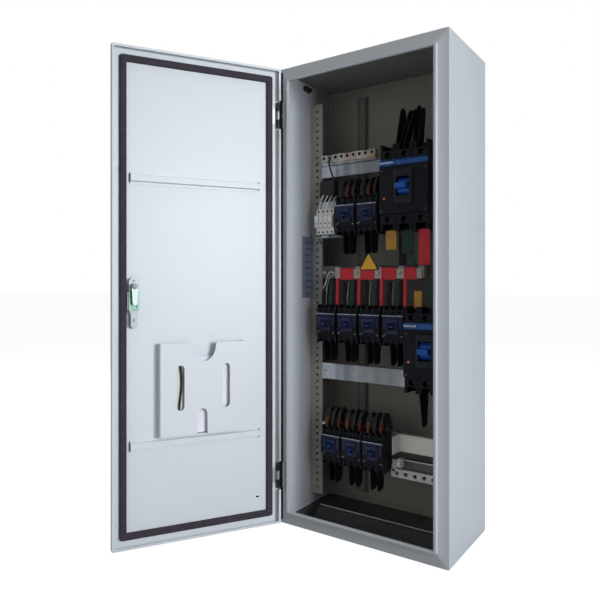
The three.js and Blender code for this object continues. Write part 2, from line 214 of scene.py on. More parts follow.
# near black for the inside of the floor: painted shade
FLOOR_SHADE_INSIDE = surface("inside_floor_painted_shade", (0.035, 0.034, 0.033), 0.22, vary=0.2, patch=6, rough_vary=0.1,
    grain=1400, grain_depth=0.00003)
PAINT_UP = surface("upright_coat", (0.42, 0.4, 0.37), 0.45, vary=0.03, grain=1200)
ZINC = spangle("bright_zinc", (0.74, 0.77, 0.8))
# zinc darkened to near black: painted shade on the gland plate and on the busbar and earth rails
ZINC_SHADED = spangle("zinc_painted_shade", (0.17, 0.165, 0.155), 0.4, 0.2)
ZINC_LOCK = surface("lock_zinc", (0.36, 0.38, 0.4), 0.42, 0.35, vary=0.08, patch=120)
ZINC_WARM = surface("cream_bracket_coat", (0.93, 0.9, 0.83), 0.42, vary=0.03)
ZINC_PALE = surface("pale_green_zinc", (0.5, 0.6, 0.55), 0.42, 0.3, vary=0.08, patch=120)
NUT = surface("dull_nut", (0.22, 0.23, 0.24), 0.45, 0.6, vary=0.1, patch=200)
CHROME = surface("satin_chrome", (0.8, 0.81, 0.83), 0.2, 1, vary=0.02, rough_vary=0.06, grain=2500,
    grain_depth=0.00001)
ZGREEN = surface("green_passivated_zinc", (0.2, 0.34, 0.27), 0.42, 0.5, vary=0.14, patch=60)
DARKBOLT = surface("dark_screw", (0.1, 0.1, 0.11), 0.35, 0.8, vary=0.1, patch=200)
BOLT = surface("bolt_steel", (0.62, 0.63, 0.64), 0.3, 1, vary=0.06, patch=200)
BLACKM = surface("hinge_black", (0.012, 0.012, 0.013), 0.36, 0.2, vary=0.2, wear=0.25)
FOAM = surface("gasket_foam", (0.05, 0.042, 0.052), 0.9, vary=0.18, patch=60, grain=1600,
    grain_depth=0.0006, spec=0.2)
CASE = surface("breaker_case", (0.0085, 0.0095, 0.013), 0.42, vary=0.15, patch=40, **MOULDED,
    wear=0.1)
CASE_T = surface("breaker_terminal_cover", (0.012, 0.0135, 0.019), 0.48, vary=0.1, patch=40, **MOULDED)
CASE_S = surface("small_terminal_cover", (0.01, 0.012, 0.018), 0.42, vary=0.15, patch=60, **MOULDED)
# black fibre for the barriers, boots and black bars, also used for a painted shadow strip on the flange
BARRIER_AND_SHADOW_STRIP = surface("barrier_fibre_and_painted_shadow", (0.005, 0.005, 0.006), 0.55, vary=0.25, patch=30, grain=600,
    grain_depth=0.0001, spec=0.3)
BLUE = surface("toggle_blue", (0.008, 0.095, 0.48), 0.32, vary=0.1, patch=80, coat=0.25)
BLUE_S = surface("small_toggle_blue", (0.008, 0.055, 0.3), 0.32, vary=0.1, patch=80, coat=0.2)
STRIPE = surface("stripe_blue", (0.01, 0.095, 0.36), 0.28, vary=0.15, patch=60, coat=0.3)
LABELB = surface("label_blue", (0.005, 0.015, 0.072), 0.3, vary=0.6, patch=90, coat=0.3)
# pale silver for lines and patches on the breaker fronts: painted highlight
BREAKER_EDGE_HIGHLIGHT = surface("breaker_painted_highlight", (0.62, 0.66, 0.72), 0.28, 0.6, vary=0.08, patch=80)
WINDOW = surface("toggle_window", (0.022, 0.025, 0.031), 0.4, vary=0.1, patch=80, spec=0.25)
CREAM = surface("cream_insulation", (0.72, 0.66, 0.56), 0.5, vary=0.06, patch=60)
PINKISH = surface("pink_insulation", (0.66, 0.5, 0.44), 0.5, vary=0.06, patch=60)
# white plastic, also used for a painted highlight line along the earth rail
WHITE_PLASTIC_AND_HIGHLIGHT = surface("white_plastic", (0.78, 0.77, 0.74), 0.42, vary=0.03, patch=60)
DIMW = surface("grey_wire", (0.34, 0.33, 0.3), 0.4, vary=0.1)
WHITEW = surface("white_wire", (0.66, 0.66, 0.64), 0.4, vary=0.05)
BLACKW = surface("black_wire", (0.012, 0.012, 0.013), 0.4, vary=0.2)
REDS = surface("red_sleeve", (0.6, 0.02, 0.032), 0.32, vary=0.12, **SLEEVE)
REDD = surface("red_dark_sleeve", (0.085, 0.006, 0.009), 0.42, vary=0.15, **SLEEVE)
BROWN = surface("orange_sleeve", (0.12, 0.036, 0.012), 0.42, vary=0.2, patch=60)
YEL = surface("yellow_sleeve", (0.5, 0.26, 0.03), 0.42, vary=0.1, **SLEEVE)
CLIP = surface("bus_clip", (0.4, 0.39, 0.37), 0.45, vary=0.1, patch=60)
GRN = surface("green_sleeve", (0.007, 0.036, 0.025), 0.42, vary=0.15, **SLEEVE)
BUTTON = surface("black_button", (0.012, 0.012, 0.012), 0.22, vary=0.1, coat=0.3)
# near black for the warning label's printed rim, and for marks standing in for the shade inside holes,
# slots and screw recesses: painted shade
BLACK_RIM_AND_HOLE_SHADE = surface("black_rim_and_painted_hole_shade", (0.004, 0.004, 0.005), 0.7, vary=0.1)
COVER = surface("wiring_cover_blue", (0.22, 0.235, 0.34), 0.45, vary=0.08, patch=40)
GREENISH = surface("green_tint_insulation", (0.5, 0.56, 0.47), 0.5, vary=0.06, patch=60)
YELLOWISH = surface("yellow_tint_insulation", (0.56, 0.46, 0.28), 0.5, vary=0.08, patch=60)
# white paper for the pocket, also used for a painted highlight on the gland plate's front edge
PAPER_AND_GLAND_HIGHLIGHT = surface("white_paper_and_painted_highlight", (0.86, 0.85, 0.92), 0.8, vary=0.02, patch=30)
# near black for a curve seen through the pocket's left slot: painted shade
SLOT_SHADE = surface("painted_slot_shade", (0.014, 0.018, 0.016), 0.6, vary=0.3, patch=30)
WARN = surface("warning_yellow", (0.85, 0.42, 0.02), 0.35, vary=0.05)
ORANGE = surface("orange_dot", (0.55, 0.16, 0.03), 0.35)
REDBTN = surface("red_test_button", (0.5, 0.02, 0.04), 0.3)
COPPER = surface("tinned_copper", (0.62, 0.56, 0.5), 0.35, 0.9, vary=0.08, patch=80)
PRINT = surface("plain_label", (0.7, 0.7, 0.68), 0.45, vary=0.04)
# side walls: painted shade, light grey by the opening going to dark brown at the back
WALL_SHADE = wall_coat("side_wall_painted_shade", (0.78, 0.82, 0.86), (0.24, 0.235, 0.215), -0.02, 0.11)

# ------------------------------------------------------------- mesh utilities
# edges sharper than this are rounded
BEVEL_DEG = 35


def placed(name, data):
    """A new object in the scene."""
    ob = bpy.data.objects.new(name, data)
    bpy.context.scene.collection.objects.link(ob)
    return ob


def rrect(x0, x1, z0, z1, r, n=4):
    """Rectangle with rounded corners, as (x, z) points; each corner has n steps."""
    p = []
    for cx, cz, a in ((x1 - r, z0 + r, -90), (x1 - r, z1 - r, 0), (x0 + r, z1 - r, 90),
            (x0 + r, z0 + r, 180)):
        for i in range(n + 1):
            t = radians(a + 90 * i / n)
            p.append((cx + r * cos(t), cz + r * sin(t)))
    return p


def circle(cx, cz, r, n=16):
    return [(cx + r * cos(2 * pi * i / n), cz + r * sin(2 * pi * i / n)) for i in range(n)]


def about(cx, cz, w, h, r, y):
    """A loop for Shape.ring that reaches w and h to either side of its centre."""
    return cx - w, cx + w, cz - h, cz + h, r, y


def moved(pts, a, b):
    return [(u + a, v + b) for u, v in pts]


def arc(cx, cz, r, degrees, rz=None):
    """Points on an arc; with rz it is part of an ellipse."""
    return [(cx + r * cos(radians(t)), cz + (rz or r) * sin(radians(t))) for t in degrees]


class Shape:
    """Collects simple solids, in millimetres, into one mesh."""

    def __init__(self, first=None):
        self.bm = bmesh.new()
        self.mats = [first] if first else []
        self.cur = 0

    def mat(self, m):
        if m not in self.mats:
            self.mats.append(m)
        self.cur = self.mats.index(m)
        return self

    def _faces(self, faces):
        for f in faces:
            f.material_index = self.cur

    def box(self, x0, x1, y0, y1, z0, z1):
        v = [self.bm.verts.new((x, y, z)) for x in (x0, x1) for y in (y0, y1) for z in (z0, z1)]
        q = [(0, 1, 3, 2), (4, 6, 7, 5), (0, 4, 5, 1), (2, 3, 7, 6), (0, 2, 6, 4), (1, 5, 7, 3)]
        self._faces([self.bm.faces.new([v[i] for i in f]) for f in q])
        return self

    def prism(self, pts, axis, a0, a1):
        """Outline run along an axis: X takes (y, z), Y takes (x, z), Z takes (x, y)."""
        def at(p, a):
            return {"X": (a, p[0], p[1]), "Y": (p[0], a, p[1]), "Z": (p[0], p[1], a)}[axis]
        lo = [self.bm.verts.new(at(p, a0)) for p in pts]
        hi = [self.bm.verts.new(at(p, a1)) for p in pts]
        n = len(pts)
        fs = [self.bm.faces.new(lo), self.bm.faces.new(hi[::-1])]
        fs += [self.bm.faces.new((lo[i], hi[i], hi[(i + 1) % n], lo[(i + 1) % n])) for i in range(n)]
        self._faces(fs)
        return self

    def cyl(self, axis, c, r, a0, a1, n=24, r1=None):
        lo, hi = [], []
        for i in range(n):
            t = 2 * pi * i / n
            for ring, a, rr in ((lo, a0, r), (hi, a1, r if r1 is None else r1)):
                u, v = c[0] + rr * cos(t), c[1] + rr * sin(t)
                ring.append(self.bm.verts.new({"X": (a, u, v), "Y": (u, a, v), "Z": (u, v, a)}[axis]))
        fs = [self.bm.faces.new(lo), self.bm.faces.new(hi[::-1])]
        fs += [self.bm.faces.new((lo[i], hi[i], hi[(i + 1) % n], lo[(i + 1) % n])) for i in range(n)]
        self._faces(fs)
        return self

    def ring(self, loops, solid=False, n=4):
        """Loops (x0, x1, z0, z1, corner, y) joined in a closed chain; a solid is capped instead."""
        rows = []
        for x0, x1, z0, z1, r, y in loops:
            rows.append([self.bm.verts.new((x, y, z)) for x, z in rrect(x0, x1, z0, z1, r, n)])
        m = len(rows[0])
        pairs = list(zip(rows, rows[1:])) + ([] if solid else [(rows[-1], rows[0])])
        fs = []
        for a, b in pairs:
            fs += [self.bm.faces.new((a[i], a[(i + 1) % m], b[(i + 1) % m], b[i])) for i in range(m)]
        if solid:
            fs += [self.bm.faces.new(rows[0][::-1]), self.bm.faces.new(rows[-1])]
        self._faces(fs)
        return self

    def screw(self, axis, c, r, a0, a1):
        """A pan head whose cross recess is two near-black bars standing slightly proud, painted shade; a0
        is the seat and a1 the top of the head.
        """
        d = a1 - a0
        self.cyl(axis, c, r, a0, a0 + d * 0.6, 20)
        self.cyl(axis, c, r, a0 + d * 0.6, a1, 20, r * 0.72)
        keep = self.cur
        self.mat(BLACK_RIM_AND_HOLE_SHADE)
        e = a1 + d * 0.03
        for w, h in ((r * 0.95, r * 0.2), (r * 0.2, r * 0.95)):
            u0, u1, v0, v1 = c[0] - w / 2, c[0] + w / 2, c[1] - h / 2, c[1] + h / 2
            q = sorted((a1 - d * 0.3, e))
            if axis == "Y":
                self.box(u0, u1, q[0], q[1], v0, v1)
            elif axis == "X":
                self.box(q[0], q[1], u0, u1, v0, v1)
            else:
                self.box(u0, u1, v0, v1, q[0], q[1])
        self.cur = keep
        return self


def finish_mesh(bm, mats, name, M=None, smooth=40):
    """Turns a bmesh in millimetres into an object in metres; edges over smooth degrees stay sharp."""
    bmesh.ops.recalc_face_normals(bm, faces=bm.faces)
    me = bpy.data.meshes.new(name)
    bm.to_mesh(me)
    bm.free()
    me.transform(Matrix.Scale(MM, 4) @ (M or Matrix.Identity(4)))
    me.update()
    for m in mats:
        me.materials.append(m)
    for p in me.polygons:
        p.use_smooth = True
    me.set_sharp_from_angle(angle=radians(smooth))
    return placed(name, me)


def apply_modifiers(ob):
    """Replaces the object's mesh by what its modifiers make of it."""
    bpy.context.view_layer.update()
    dg = bpy.context.evaluated_depsgraph_get()
    me = bpy.data.meshes.new_from_object(ob.evaluated_get(dg), preserve_all_data_layers=True, depsgraph=dg)
    old = ob.data
    ob.modifiers.clear()
    ob.data = me
    me.name = ob.name
    bpy.data.meshes.remove(old)


def cut(ob, cutter, M=None):
    """Cuts the solids in a Shape out of an object."""
    c = finish_mesh(cutter.bm, [], "cutter", M)
    mod = ob.modifiers.new("cut", "BOOLEAN")
    mod.operation = "DIFFERENCE"
    mod.solver = "EXACT"
    mod.use_self = True
    mod.object = c
    apply_modifiers(ob)
    bpy.data.objects.remove(c)


def put(ob, body, replaces=(), bevel=0, seg=2):
    """Rounds the edges, then says which body carries the piece and which nodes it replaces."""
    if bevel:
        b = ob.modifiers.new("edges", "BEVEL")
        b.width = bevel * MM
        b.segments = seg
        b.limit_method = "ANGLE"
        b.angle_limit = radians(BEVEL_DEG)
        b.harden_normals = True
        b.use_clamp_overlap = True
        apply_modifiers(ob)
    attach(ob, body)
    if replaces:
        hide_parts(*([replaces] if isinstance(replaces, str) else replaces))
    return ob


def made(shape, name, body, replaces=(), M=None, bevel=0.4, seg=2):
    return put(finish_mesh(shape.bm, shape.mats, name, M), body, replaces, bevel, seg)


def plate(name, outline, holes, y0, y1, mat, M=None, edge=0.25):
    """A flat sheet with holes: outline and holes in (x, z), thickness along Y."""
    cu = bpy.data.curves.new(name, "CURVE")
    cu.dimensions = "2D"
    cu.fill_mode = "BOTH"
    for pts in (outline, *holes):
        sp = cu.splines.new("POLY")
        sp.points.add(len(pts) - 1)
        for p, (x, z) in zip(sp.points, pts):
            p.co = (x * MM, z * MM, 0, 1)
        sp.use_cyclic_u = True
    cu.extrude = (y1 - y0) / 2 * MM - edge * MM
    cu.bevel_depth = edge * MM
    cu.offset = -edge * MM
    cu.bevel_resolution = 1
    ob = placed(name, cu)
    bpy.context.view_layer.update()
    dg = bpy.context.evaluated_depsgraph_get()
    me = bpy.data.meshes.new_from_object(ob.evaluated_get(dg), depsgraph=dg)
    bpy.data.objects.remove(ob)
    # (x, z, t) -> (x, y, z)
    R = Matrix(((1, 0, 0, 0), (0, 0, -1, 0), (0, 1, 0, 0), (0, 0, 0, 1)))
    S = Matrix.Scale(MM, 4)
    me.transform(S @ (M or Matrix.Identity(4)) @ S.inverted() @ Matrix.Translation((0, (y0 + y1) / 2 * MM,
        0)) @ R)
    me.materials.clear()
    me.materials.append(mat)
    bm = bmesh.new()
    bm.from_mesh(me)
    bmesh.ops.remove_doubles(bm, verts=bm.verts, dist=1e-6)
    bmesh.ops.recalc_face_normals(bm, faces=bm.faces)
    bm.to_mesh(me)
    bm.free()
    if "custom_normal" in me.attributes:
        me.attributes.remove(me.attributes["custom_normal"])
    me.shade_flat()
    return placed(name, me)


def wire(name, pts, r, mat, body="cabinet", M=None):
    """A lead held at its ends: a smooth tube through its points."""
    cu = bpy.data.curves.new(name, "CURVE")
    cu.dimensions = "3D"
    cu.bevel_depth = r * MM
    cu.bevel_resolution = 3
    cu.resolution_u = 8
    cu.use_fill_caps = True
    sp = cu.splines.new("BEZIER")
    sp.bezier_points.add(len(pts) - 1)
    for b, p in zip(sp.bezier_points, pts):
        b.co = (M @ Vector(p) if M else Vector(p)) * MM
        b.handle_left_type = b.handle_right_type = "AUTO"
    cu.materials.append(mat)
    return put(placed(name, cu), body)


# -------------------------------------------------------------------- cabinet

C = "cabinet"
# hole rows of the uprights
HOLE_PITCH, HOLE_COUNT, HOLE_FIRST, HOLE_HEIGHT = 25, 58, 67.5, 9


def inset(d, r, y):
    """A loop that stands d inside the cabinet's outline."""
    return (-X1 + d, X1 - d, d, H - d, r, y)


def around(d, r, y):
    """A loop that stands d outside the door opening."""
    return (-OX - d, OX + d, OZ0 - d, OZ1 + d, r, y)


s = Shape(PAINT)
s.ring([inset(2, 3, YF + 2), inset(2, 3, YB - 6), inset(18, 3, YB - 6), inset(18, 3, YB - 4.2),
    inset(2, 4, YB - 2.1), inset(0, 5, YB - 3), inset(0, 5, YF + 2.6), inset(0.35, 5, YF + 1.2),
    inset(1.2, 5, YF + 0.35), inset(2.6, 4, YF), around(11, 8, YF), around(10.3, 8, YF - 0.6),
    around(10, 8, YF - 1.6), around(10, 8, YF - 7.6), around(9.4, 8, YF - 9.1), around(8.2, 7, YF - 9.85),
    around(6.8, 6.5, YF - 10), around(3, 4, YF - 10), around(1.4, 3, YF - 9.7), around(0.4, 2.6, YF - 8.8),
    around(0, 2.5, YF - 7.4), around(0, 2.5, YF + 1.6), around(0.6, 2.6, YF + 2)])
shell = finish_mesh(s.bm, s.mats, "cabinet_body", smooth=60)
knock = Shape().box(-250, 250, 55, 165, -10, 10)
cut(shell, knock)
# the inside takes painted shade: darker grey where faces look to the front, darker still on the ceiling,
# near black on the floor, side walls darkening towards the back; the outside takes the darker copy of the
# door's paint
shell.data.materials.clear()
for m in (PAINT_BODY_SHADED, PAINT_SHADE_INSIDE, CEILING_SHADE, FLOOR_SHADE_INSIDE, WALL_SHADE):
    shell.data.materials.append(m)
for f in shell.data.polygons:
    c, n = f.center / MM, f.normal
    if -(X1 - 1) < c.x < X1 - 1 and YF + 1 < c.y < YB - 1 and 1 < c.z < H - 1:
        if n.y < -0.5:
            f.material_index = 1
        elif abs(n.x) > 0.5:
            f.material_index = 4
        elif n.z < -0.5:
            f.material_index = 2
        elif n.z > 0.5:
            f.material_index = 3
put(shell, C, "cabinet_shell")

# back panel: sheet, and two ribs coloured darker than it as painted shade, with near-black lines along
# their folds as painted shadow
b = mm_box("back_panel")
s = Shape(PAINT_SHADE_INSIDE).box(b[0], b[3], YB - 1.7, YB, b[2], b[5])
s.mat(RIB_SHADE)
for c in (-150, 150):
    s.prism([(c - 24, YB - 1.8), (c - 16, YB - 1.8), (c - 14, 173), (c + 14, 173), (c + 16, YB - 1.8),
        (c + 24, YB - 1.8), (c + 24, YB - 2.8), (c + 17, YB - 2.8), (c + 15.2, 172), (c - 15.2, 172),
        (c - 17, YB - 2.8), (c - 24, YB - 2.8)], "Z", 40, 1562)
# near-black strips beside each rib: painted shadow lines at the folds
s.mat(BLACK_RIM_AND_HOLE_SHADE)
for c in (-150, 150):
    for x in (c - 13.5, c + 13.5):
        s.box(x - 0.8, x + 0.8, 171.8, 172.4, 44, 1558)
made(s, "back_sheet", C, "back_panel", bevel=0.5)
g = mm_box("gland_plate")
# the gland plate in the darkened zinc: painted shade
s = Shape(ZINC_SHADED).box(g[0], g[3], g[1] + 1.7, g[4], g[2], g[5])
# a white strip along the gland plate's front edge: painted highlight
s.mat(PAPER_AND_GLAND_HIGHLIGHT).box(g[0], g[3], g[1] - 0.2, g[1] + 1.9, g[2] + 0.1, g[5] + 1.4)
made(s, "gland_cover", C, "gland_plate")
s = Shape(DARKBOLT)
for x in (-240, -80, 80, 240):
    for y in (52, 168):
        s.screw("Z", (x, y), 5, g[5], g[5] + 3)
made(s, "gland_screws", C, bevel=0)


def upright(node_name, sign):
    u = mm_box(node_name)
    xs = sorted((sign * 250, sign * 297.7))
    hx = sorted((sign * 266.5, sign * 275.5))
    rows = [HOLE_FIRST + HOLE_PITCH * i for i in range(HOLE_COUNT)]
    holes = [rrect(*hx, z, z + HOLE_HEIGHT, 2.6, 3) for z in rows]
    p = plate(node_name + "_face", rrect(xs[0], xs[1], u[2], u[5], 1, 2), holes, 40, 42, PAINT_UP)
    put(p, C, node_name)
    s = Shape(PAINT_UP)
    for x in (sign * 297.2, sign * 251):
        w = 0.9 if abs(x) < 280 else 0.5
        s.box(x - w, x + w, 41.5, 47 if abs(x) < 280 else 85, u[2], u[5])
    made(s, node_name + "_flanges", C)


upright("upright_left", -1)
upright("upright_right", 1)


def rail(node_name, mat):
    r = mm_box(node_name)
    x0, x1, y0, z0, z1 = r[0], r[3], r[1], r[2], r[5]
    t = 1.8
    s = Shape(mat).prism([(y0, z0), (y0 + 18, z0), (y0 + 18, z0 + t), (y0 + t, z0 + t), (y0 + t, z1 - t),
        (y0 + 18, z1 - t), (y0 + 18, z1), (y0, z1)], "X", x0, x1)
    made(s, node_name + "_channel", C, node_name, bevel=0.7)


RAILS = ["rail_" + n for n in ("top", "upper", "busbar", "middle", "lower", "bottom", "earth")]
for n in RAILS:
    # the busbar and earth rails take the darkened zinc: painted shade
    rail(n, ZINC_SHADED if n in ("rail_busbar", "rail_earth") else ZINC)
s = Shape(BOLT)
for n in RAILS:
    r = mm_box(n)
    zc = (r[2] + r[5]) / 2
    for x in (-239, 239):
        s.cyl("Y", (x, zc), 6.5, r[1] - 1.2, r[1] + 0.2)
        s.cyl("Y", (x, zc), 5, r[1] - 4.6, r[1] - 1.2, 6)
made(s, "rail_bolts", C)

b = mm_box("bracket_right")
s = Shape(ZINC_WARM)
s.prism([(b[0], b[1]), (b[0] + 2, b[1]), (b[0] + 2, b[4] - 2), (b[3], b[4] - 2), (b[3], b[4]),
    (b[0], b[4])], "Z", b[2], b[5])
s.box(b[0], b[3], b[4] - 9, b[4] - 1.5, b[5] - 1.8, b[5])
made(s, "corner_bracket", C, "bracket_right", bevel=0.5)

b = mm_box("neutral_bar")
holes = [rrect(43 + 32 * i, 57 + 32 * i, 180, 194, 5, 4) for i in range(5)]
bar = plate("neutral_link", rrect(b[0], b[3], 173, 202, 1.5, 3), holes, b[1], b[1] + 6, WHITE_PLASTIC_AND_HIGHLIGHT)
put(bar, C, "neutral_bar")
s = Shape(WHITE_PLASTIC_AND_HIGHLIGHT)
for x in (39, 195):
    s.box(x - 7, x + 7, b[1] + 6, b[4], 176, 232)
    s.box(x - 9, x + 9, b[1] + 3, b[4], 205, 214)
made(s, "neutral_posts", C, bevel=1)
# near-black plugs in the bar's holes: painted shade; the post screws are drawn in the same near black
s = Shape(BLACK_RIM_AND_HOLE_SHADE)
for i in range(5):
    s.cyl("Y", (50 + 32 * i, 187), 3, b[1] + 7, b[4] + 3, 12)
for x in (39, 195):
    s.screw("Y", (x, 196), 4.4, b[1], b[1] - 3)
made(s, "neutral_screws", C, bevel=0)
s = Shape(WHITE_PLASTIC_AND_HIGHLIGHT)
s.box(56, 74, 12, 37.6, 212, 240).box(58, 72, 4, 14, 217, 235)
# a thin white strip along the top of the earth rail: painted highlight
s.box(76, 205, 34.2, 37.6, 233, 236.5)
made(s, "earth_terminal", C, bevel=1)

# terminal row
b = mm_box("terminal_strip")
s = Shape(ZINC).box(b[0], b[3], 24, 41.6, b[2], b[2] + 7)
made(s, "terminal_carrier", C, "terminal_strip", bevel=0.5)
s = Shape()
tints = (CREAM, GREENISH, GREENISH, CREAM, PINKISH, PINKISH, CREAM, PINKISH, YELLOWISH)
for i, m in enumerate(tints):
    x0 = b[0] + 24 * i
    s.mat(m)
    s.box(x0 + 0.5, x0 + 23.5, 18, 42, 1291.6, 1321 - (2 if i % 3 == 1 else 0))
    s.box(x0 + 2.5, x0 + 21.5, 15, 20, 1294, 1300)
    s.mat(BOLT).cyl("Y", (x0 + 12, 1310), 8, 16.6, 18.4)
    # near-black disc in each screw ring: painted shade of the hole
    s.mat(BLACK_RIM_AND_HOLE_SHADE).cyl("Y", (x0 + 12, 1310), 6, 16.3, 18.6, 20)
    s.mat(BOLT).screw("Z", (x0 + 12, 30), 4, 1318, 1320.6)
made(s, "terminal_blocks", C, bevel=0.7)

# surge unit: four modules, each with a plug-in cartridge and a plain window
b = mm_box("surge_unit")
s = Shape()
for i in range(4):
    x0 = b[0] + 18 * i
    s.mat(WHITE_PLASTIC_AND_HIGHLIGHT)
    s.prism([(25, 1024), (-20, 1024), (-20, 1046), (-25, 1048), (-25, 1094), (-20, 1096), (-20, 1117),
        (25, 1117)], "X", x0 + 0.3, x0 + 17.7)
    s.prism([(-20, 1048), (-35, 1049), (-38, 1053), (-38, 1089), (-35, 1093), (-20, 1094)], "X", x0 + 1.2,
        x0 + 16.8)
    # near-black discs on each module's face: painted shade of its openings
    s.mat(BLACK_RIM_AND_HOLE_SHADE)
    for z in (1032, 1108):
        s.cyl("Y", (x0 + 9, z), 3.8, -20.4, -18, 16)
    s.mat(GRN).box(x0 + 6, x0 + 12, -38.3, -37.6, 1060, 1065)
made(s, "surge_modules", C, "surge_unit", bevel=0.8)
b = mm_box("surge_bracket")
s = Shape(ZINC).prism([(b[4], b[2]), (b[1], b[2]), (b[1], b[2] + 2), (b[4] - 2, b[2] + 2), (b[4] - 2, b[5]),
    (b[4], b[5])], "X", b[0], b[3])
made(s, "surge_angle", C, "surge_bracket", bevel=0.5)

# wiring cover on the left wall, with its row of vents
b = mm_box("wiring_cover")
s = Shape(COVER).box(b[0], b[3], b[1], b[4], b[2], b[5])
made(s, "side_cover", C, "wiring_cover", bevel=2, seg=3)
# the vents are near-black discs on the cover: painted shade, not holes
s = Shape(BLACK_RIM_AND_HOLE_SHADE)
for i in range(9):
    for y in (-12, 4, 20):
        s.cyl("X", (y, 806 + 24 * i), 3.6, b[3] - 0.3, b[3] + 0.25, 16)
made(s, "side_cover_holes", C, bevel=0)

# ------------------------------------------------------------------ busbar set
b = mm_box("busbar_red")
s = Shape(COPPER).box(b[0] + 1, b[3] - 1, -3, 1, 861, 895)
made(s, "bus_copper", C, "busbar_red", bevel=0.6)
posts = (-166, -86, -6, 74, 144)
s = Shape(REDS)
for a0, a1 in zip(posts, posts[1:]):
    s.box(a0 + 13, a1 - 13, -4.8, 2.6, 857, 899)
made(s, "bus_sleeves", C, bevel=1.2, seg=3)
s = Shape()
for c in posts:
    s.mat(CLIP).prism(rrect(c - 10, c + 10, 864, 904, 4, 3), "Y", 2.8, 16)
    s.prism(rrect(c - 8, c + 8, 868, 900, 4, 3), "Y", 16, 37.6)
    s.mat(BOLT).cyl("Y", (c, 880), 6.5, -6.6, -4.6, 20).cyl("Y", (c, 880), 5, -10, -6.4, 6)
made(s, "bus_posts", C, bevel=0.8)

# -------------------------------------------------------------------- breakers
SMALL = SimpleNamespace(w=76, h=137, yf=-38, pitch=24, term=31, step=9, esc=4, ew=44, eh=50, wh=19, ww=13,
    drum=12, tip=25, tw=12, tt=8, hw=11.4, down=62, up=0)
BIG_A = SimpleNamespace(w=166, h=290, yf=-62, pitch=57, term=56, step=10, esc=5, ew=66, eh=116, wh=62,
    ww=42, drum=34, tip=58, tw=40, tt=24, hw=38, down=0, up=118)
BIG_B = SimpleNamespace(w=144, h=284, yf=-62, pitch=48, term=54, step=10, esc=5, ew=60, eh=108, wh=62,
    ww=40, drum=34, tip=58, tw=38, tt=24, hw=36, down=98, up=0)
BACK = mm_box("upper_breaker_1_case")[4]


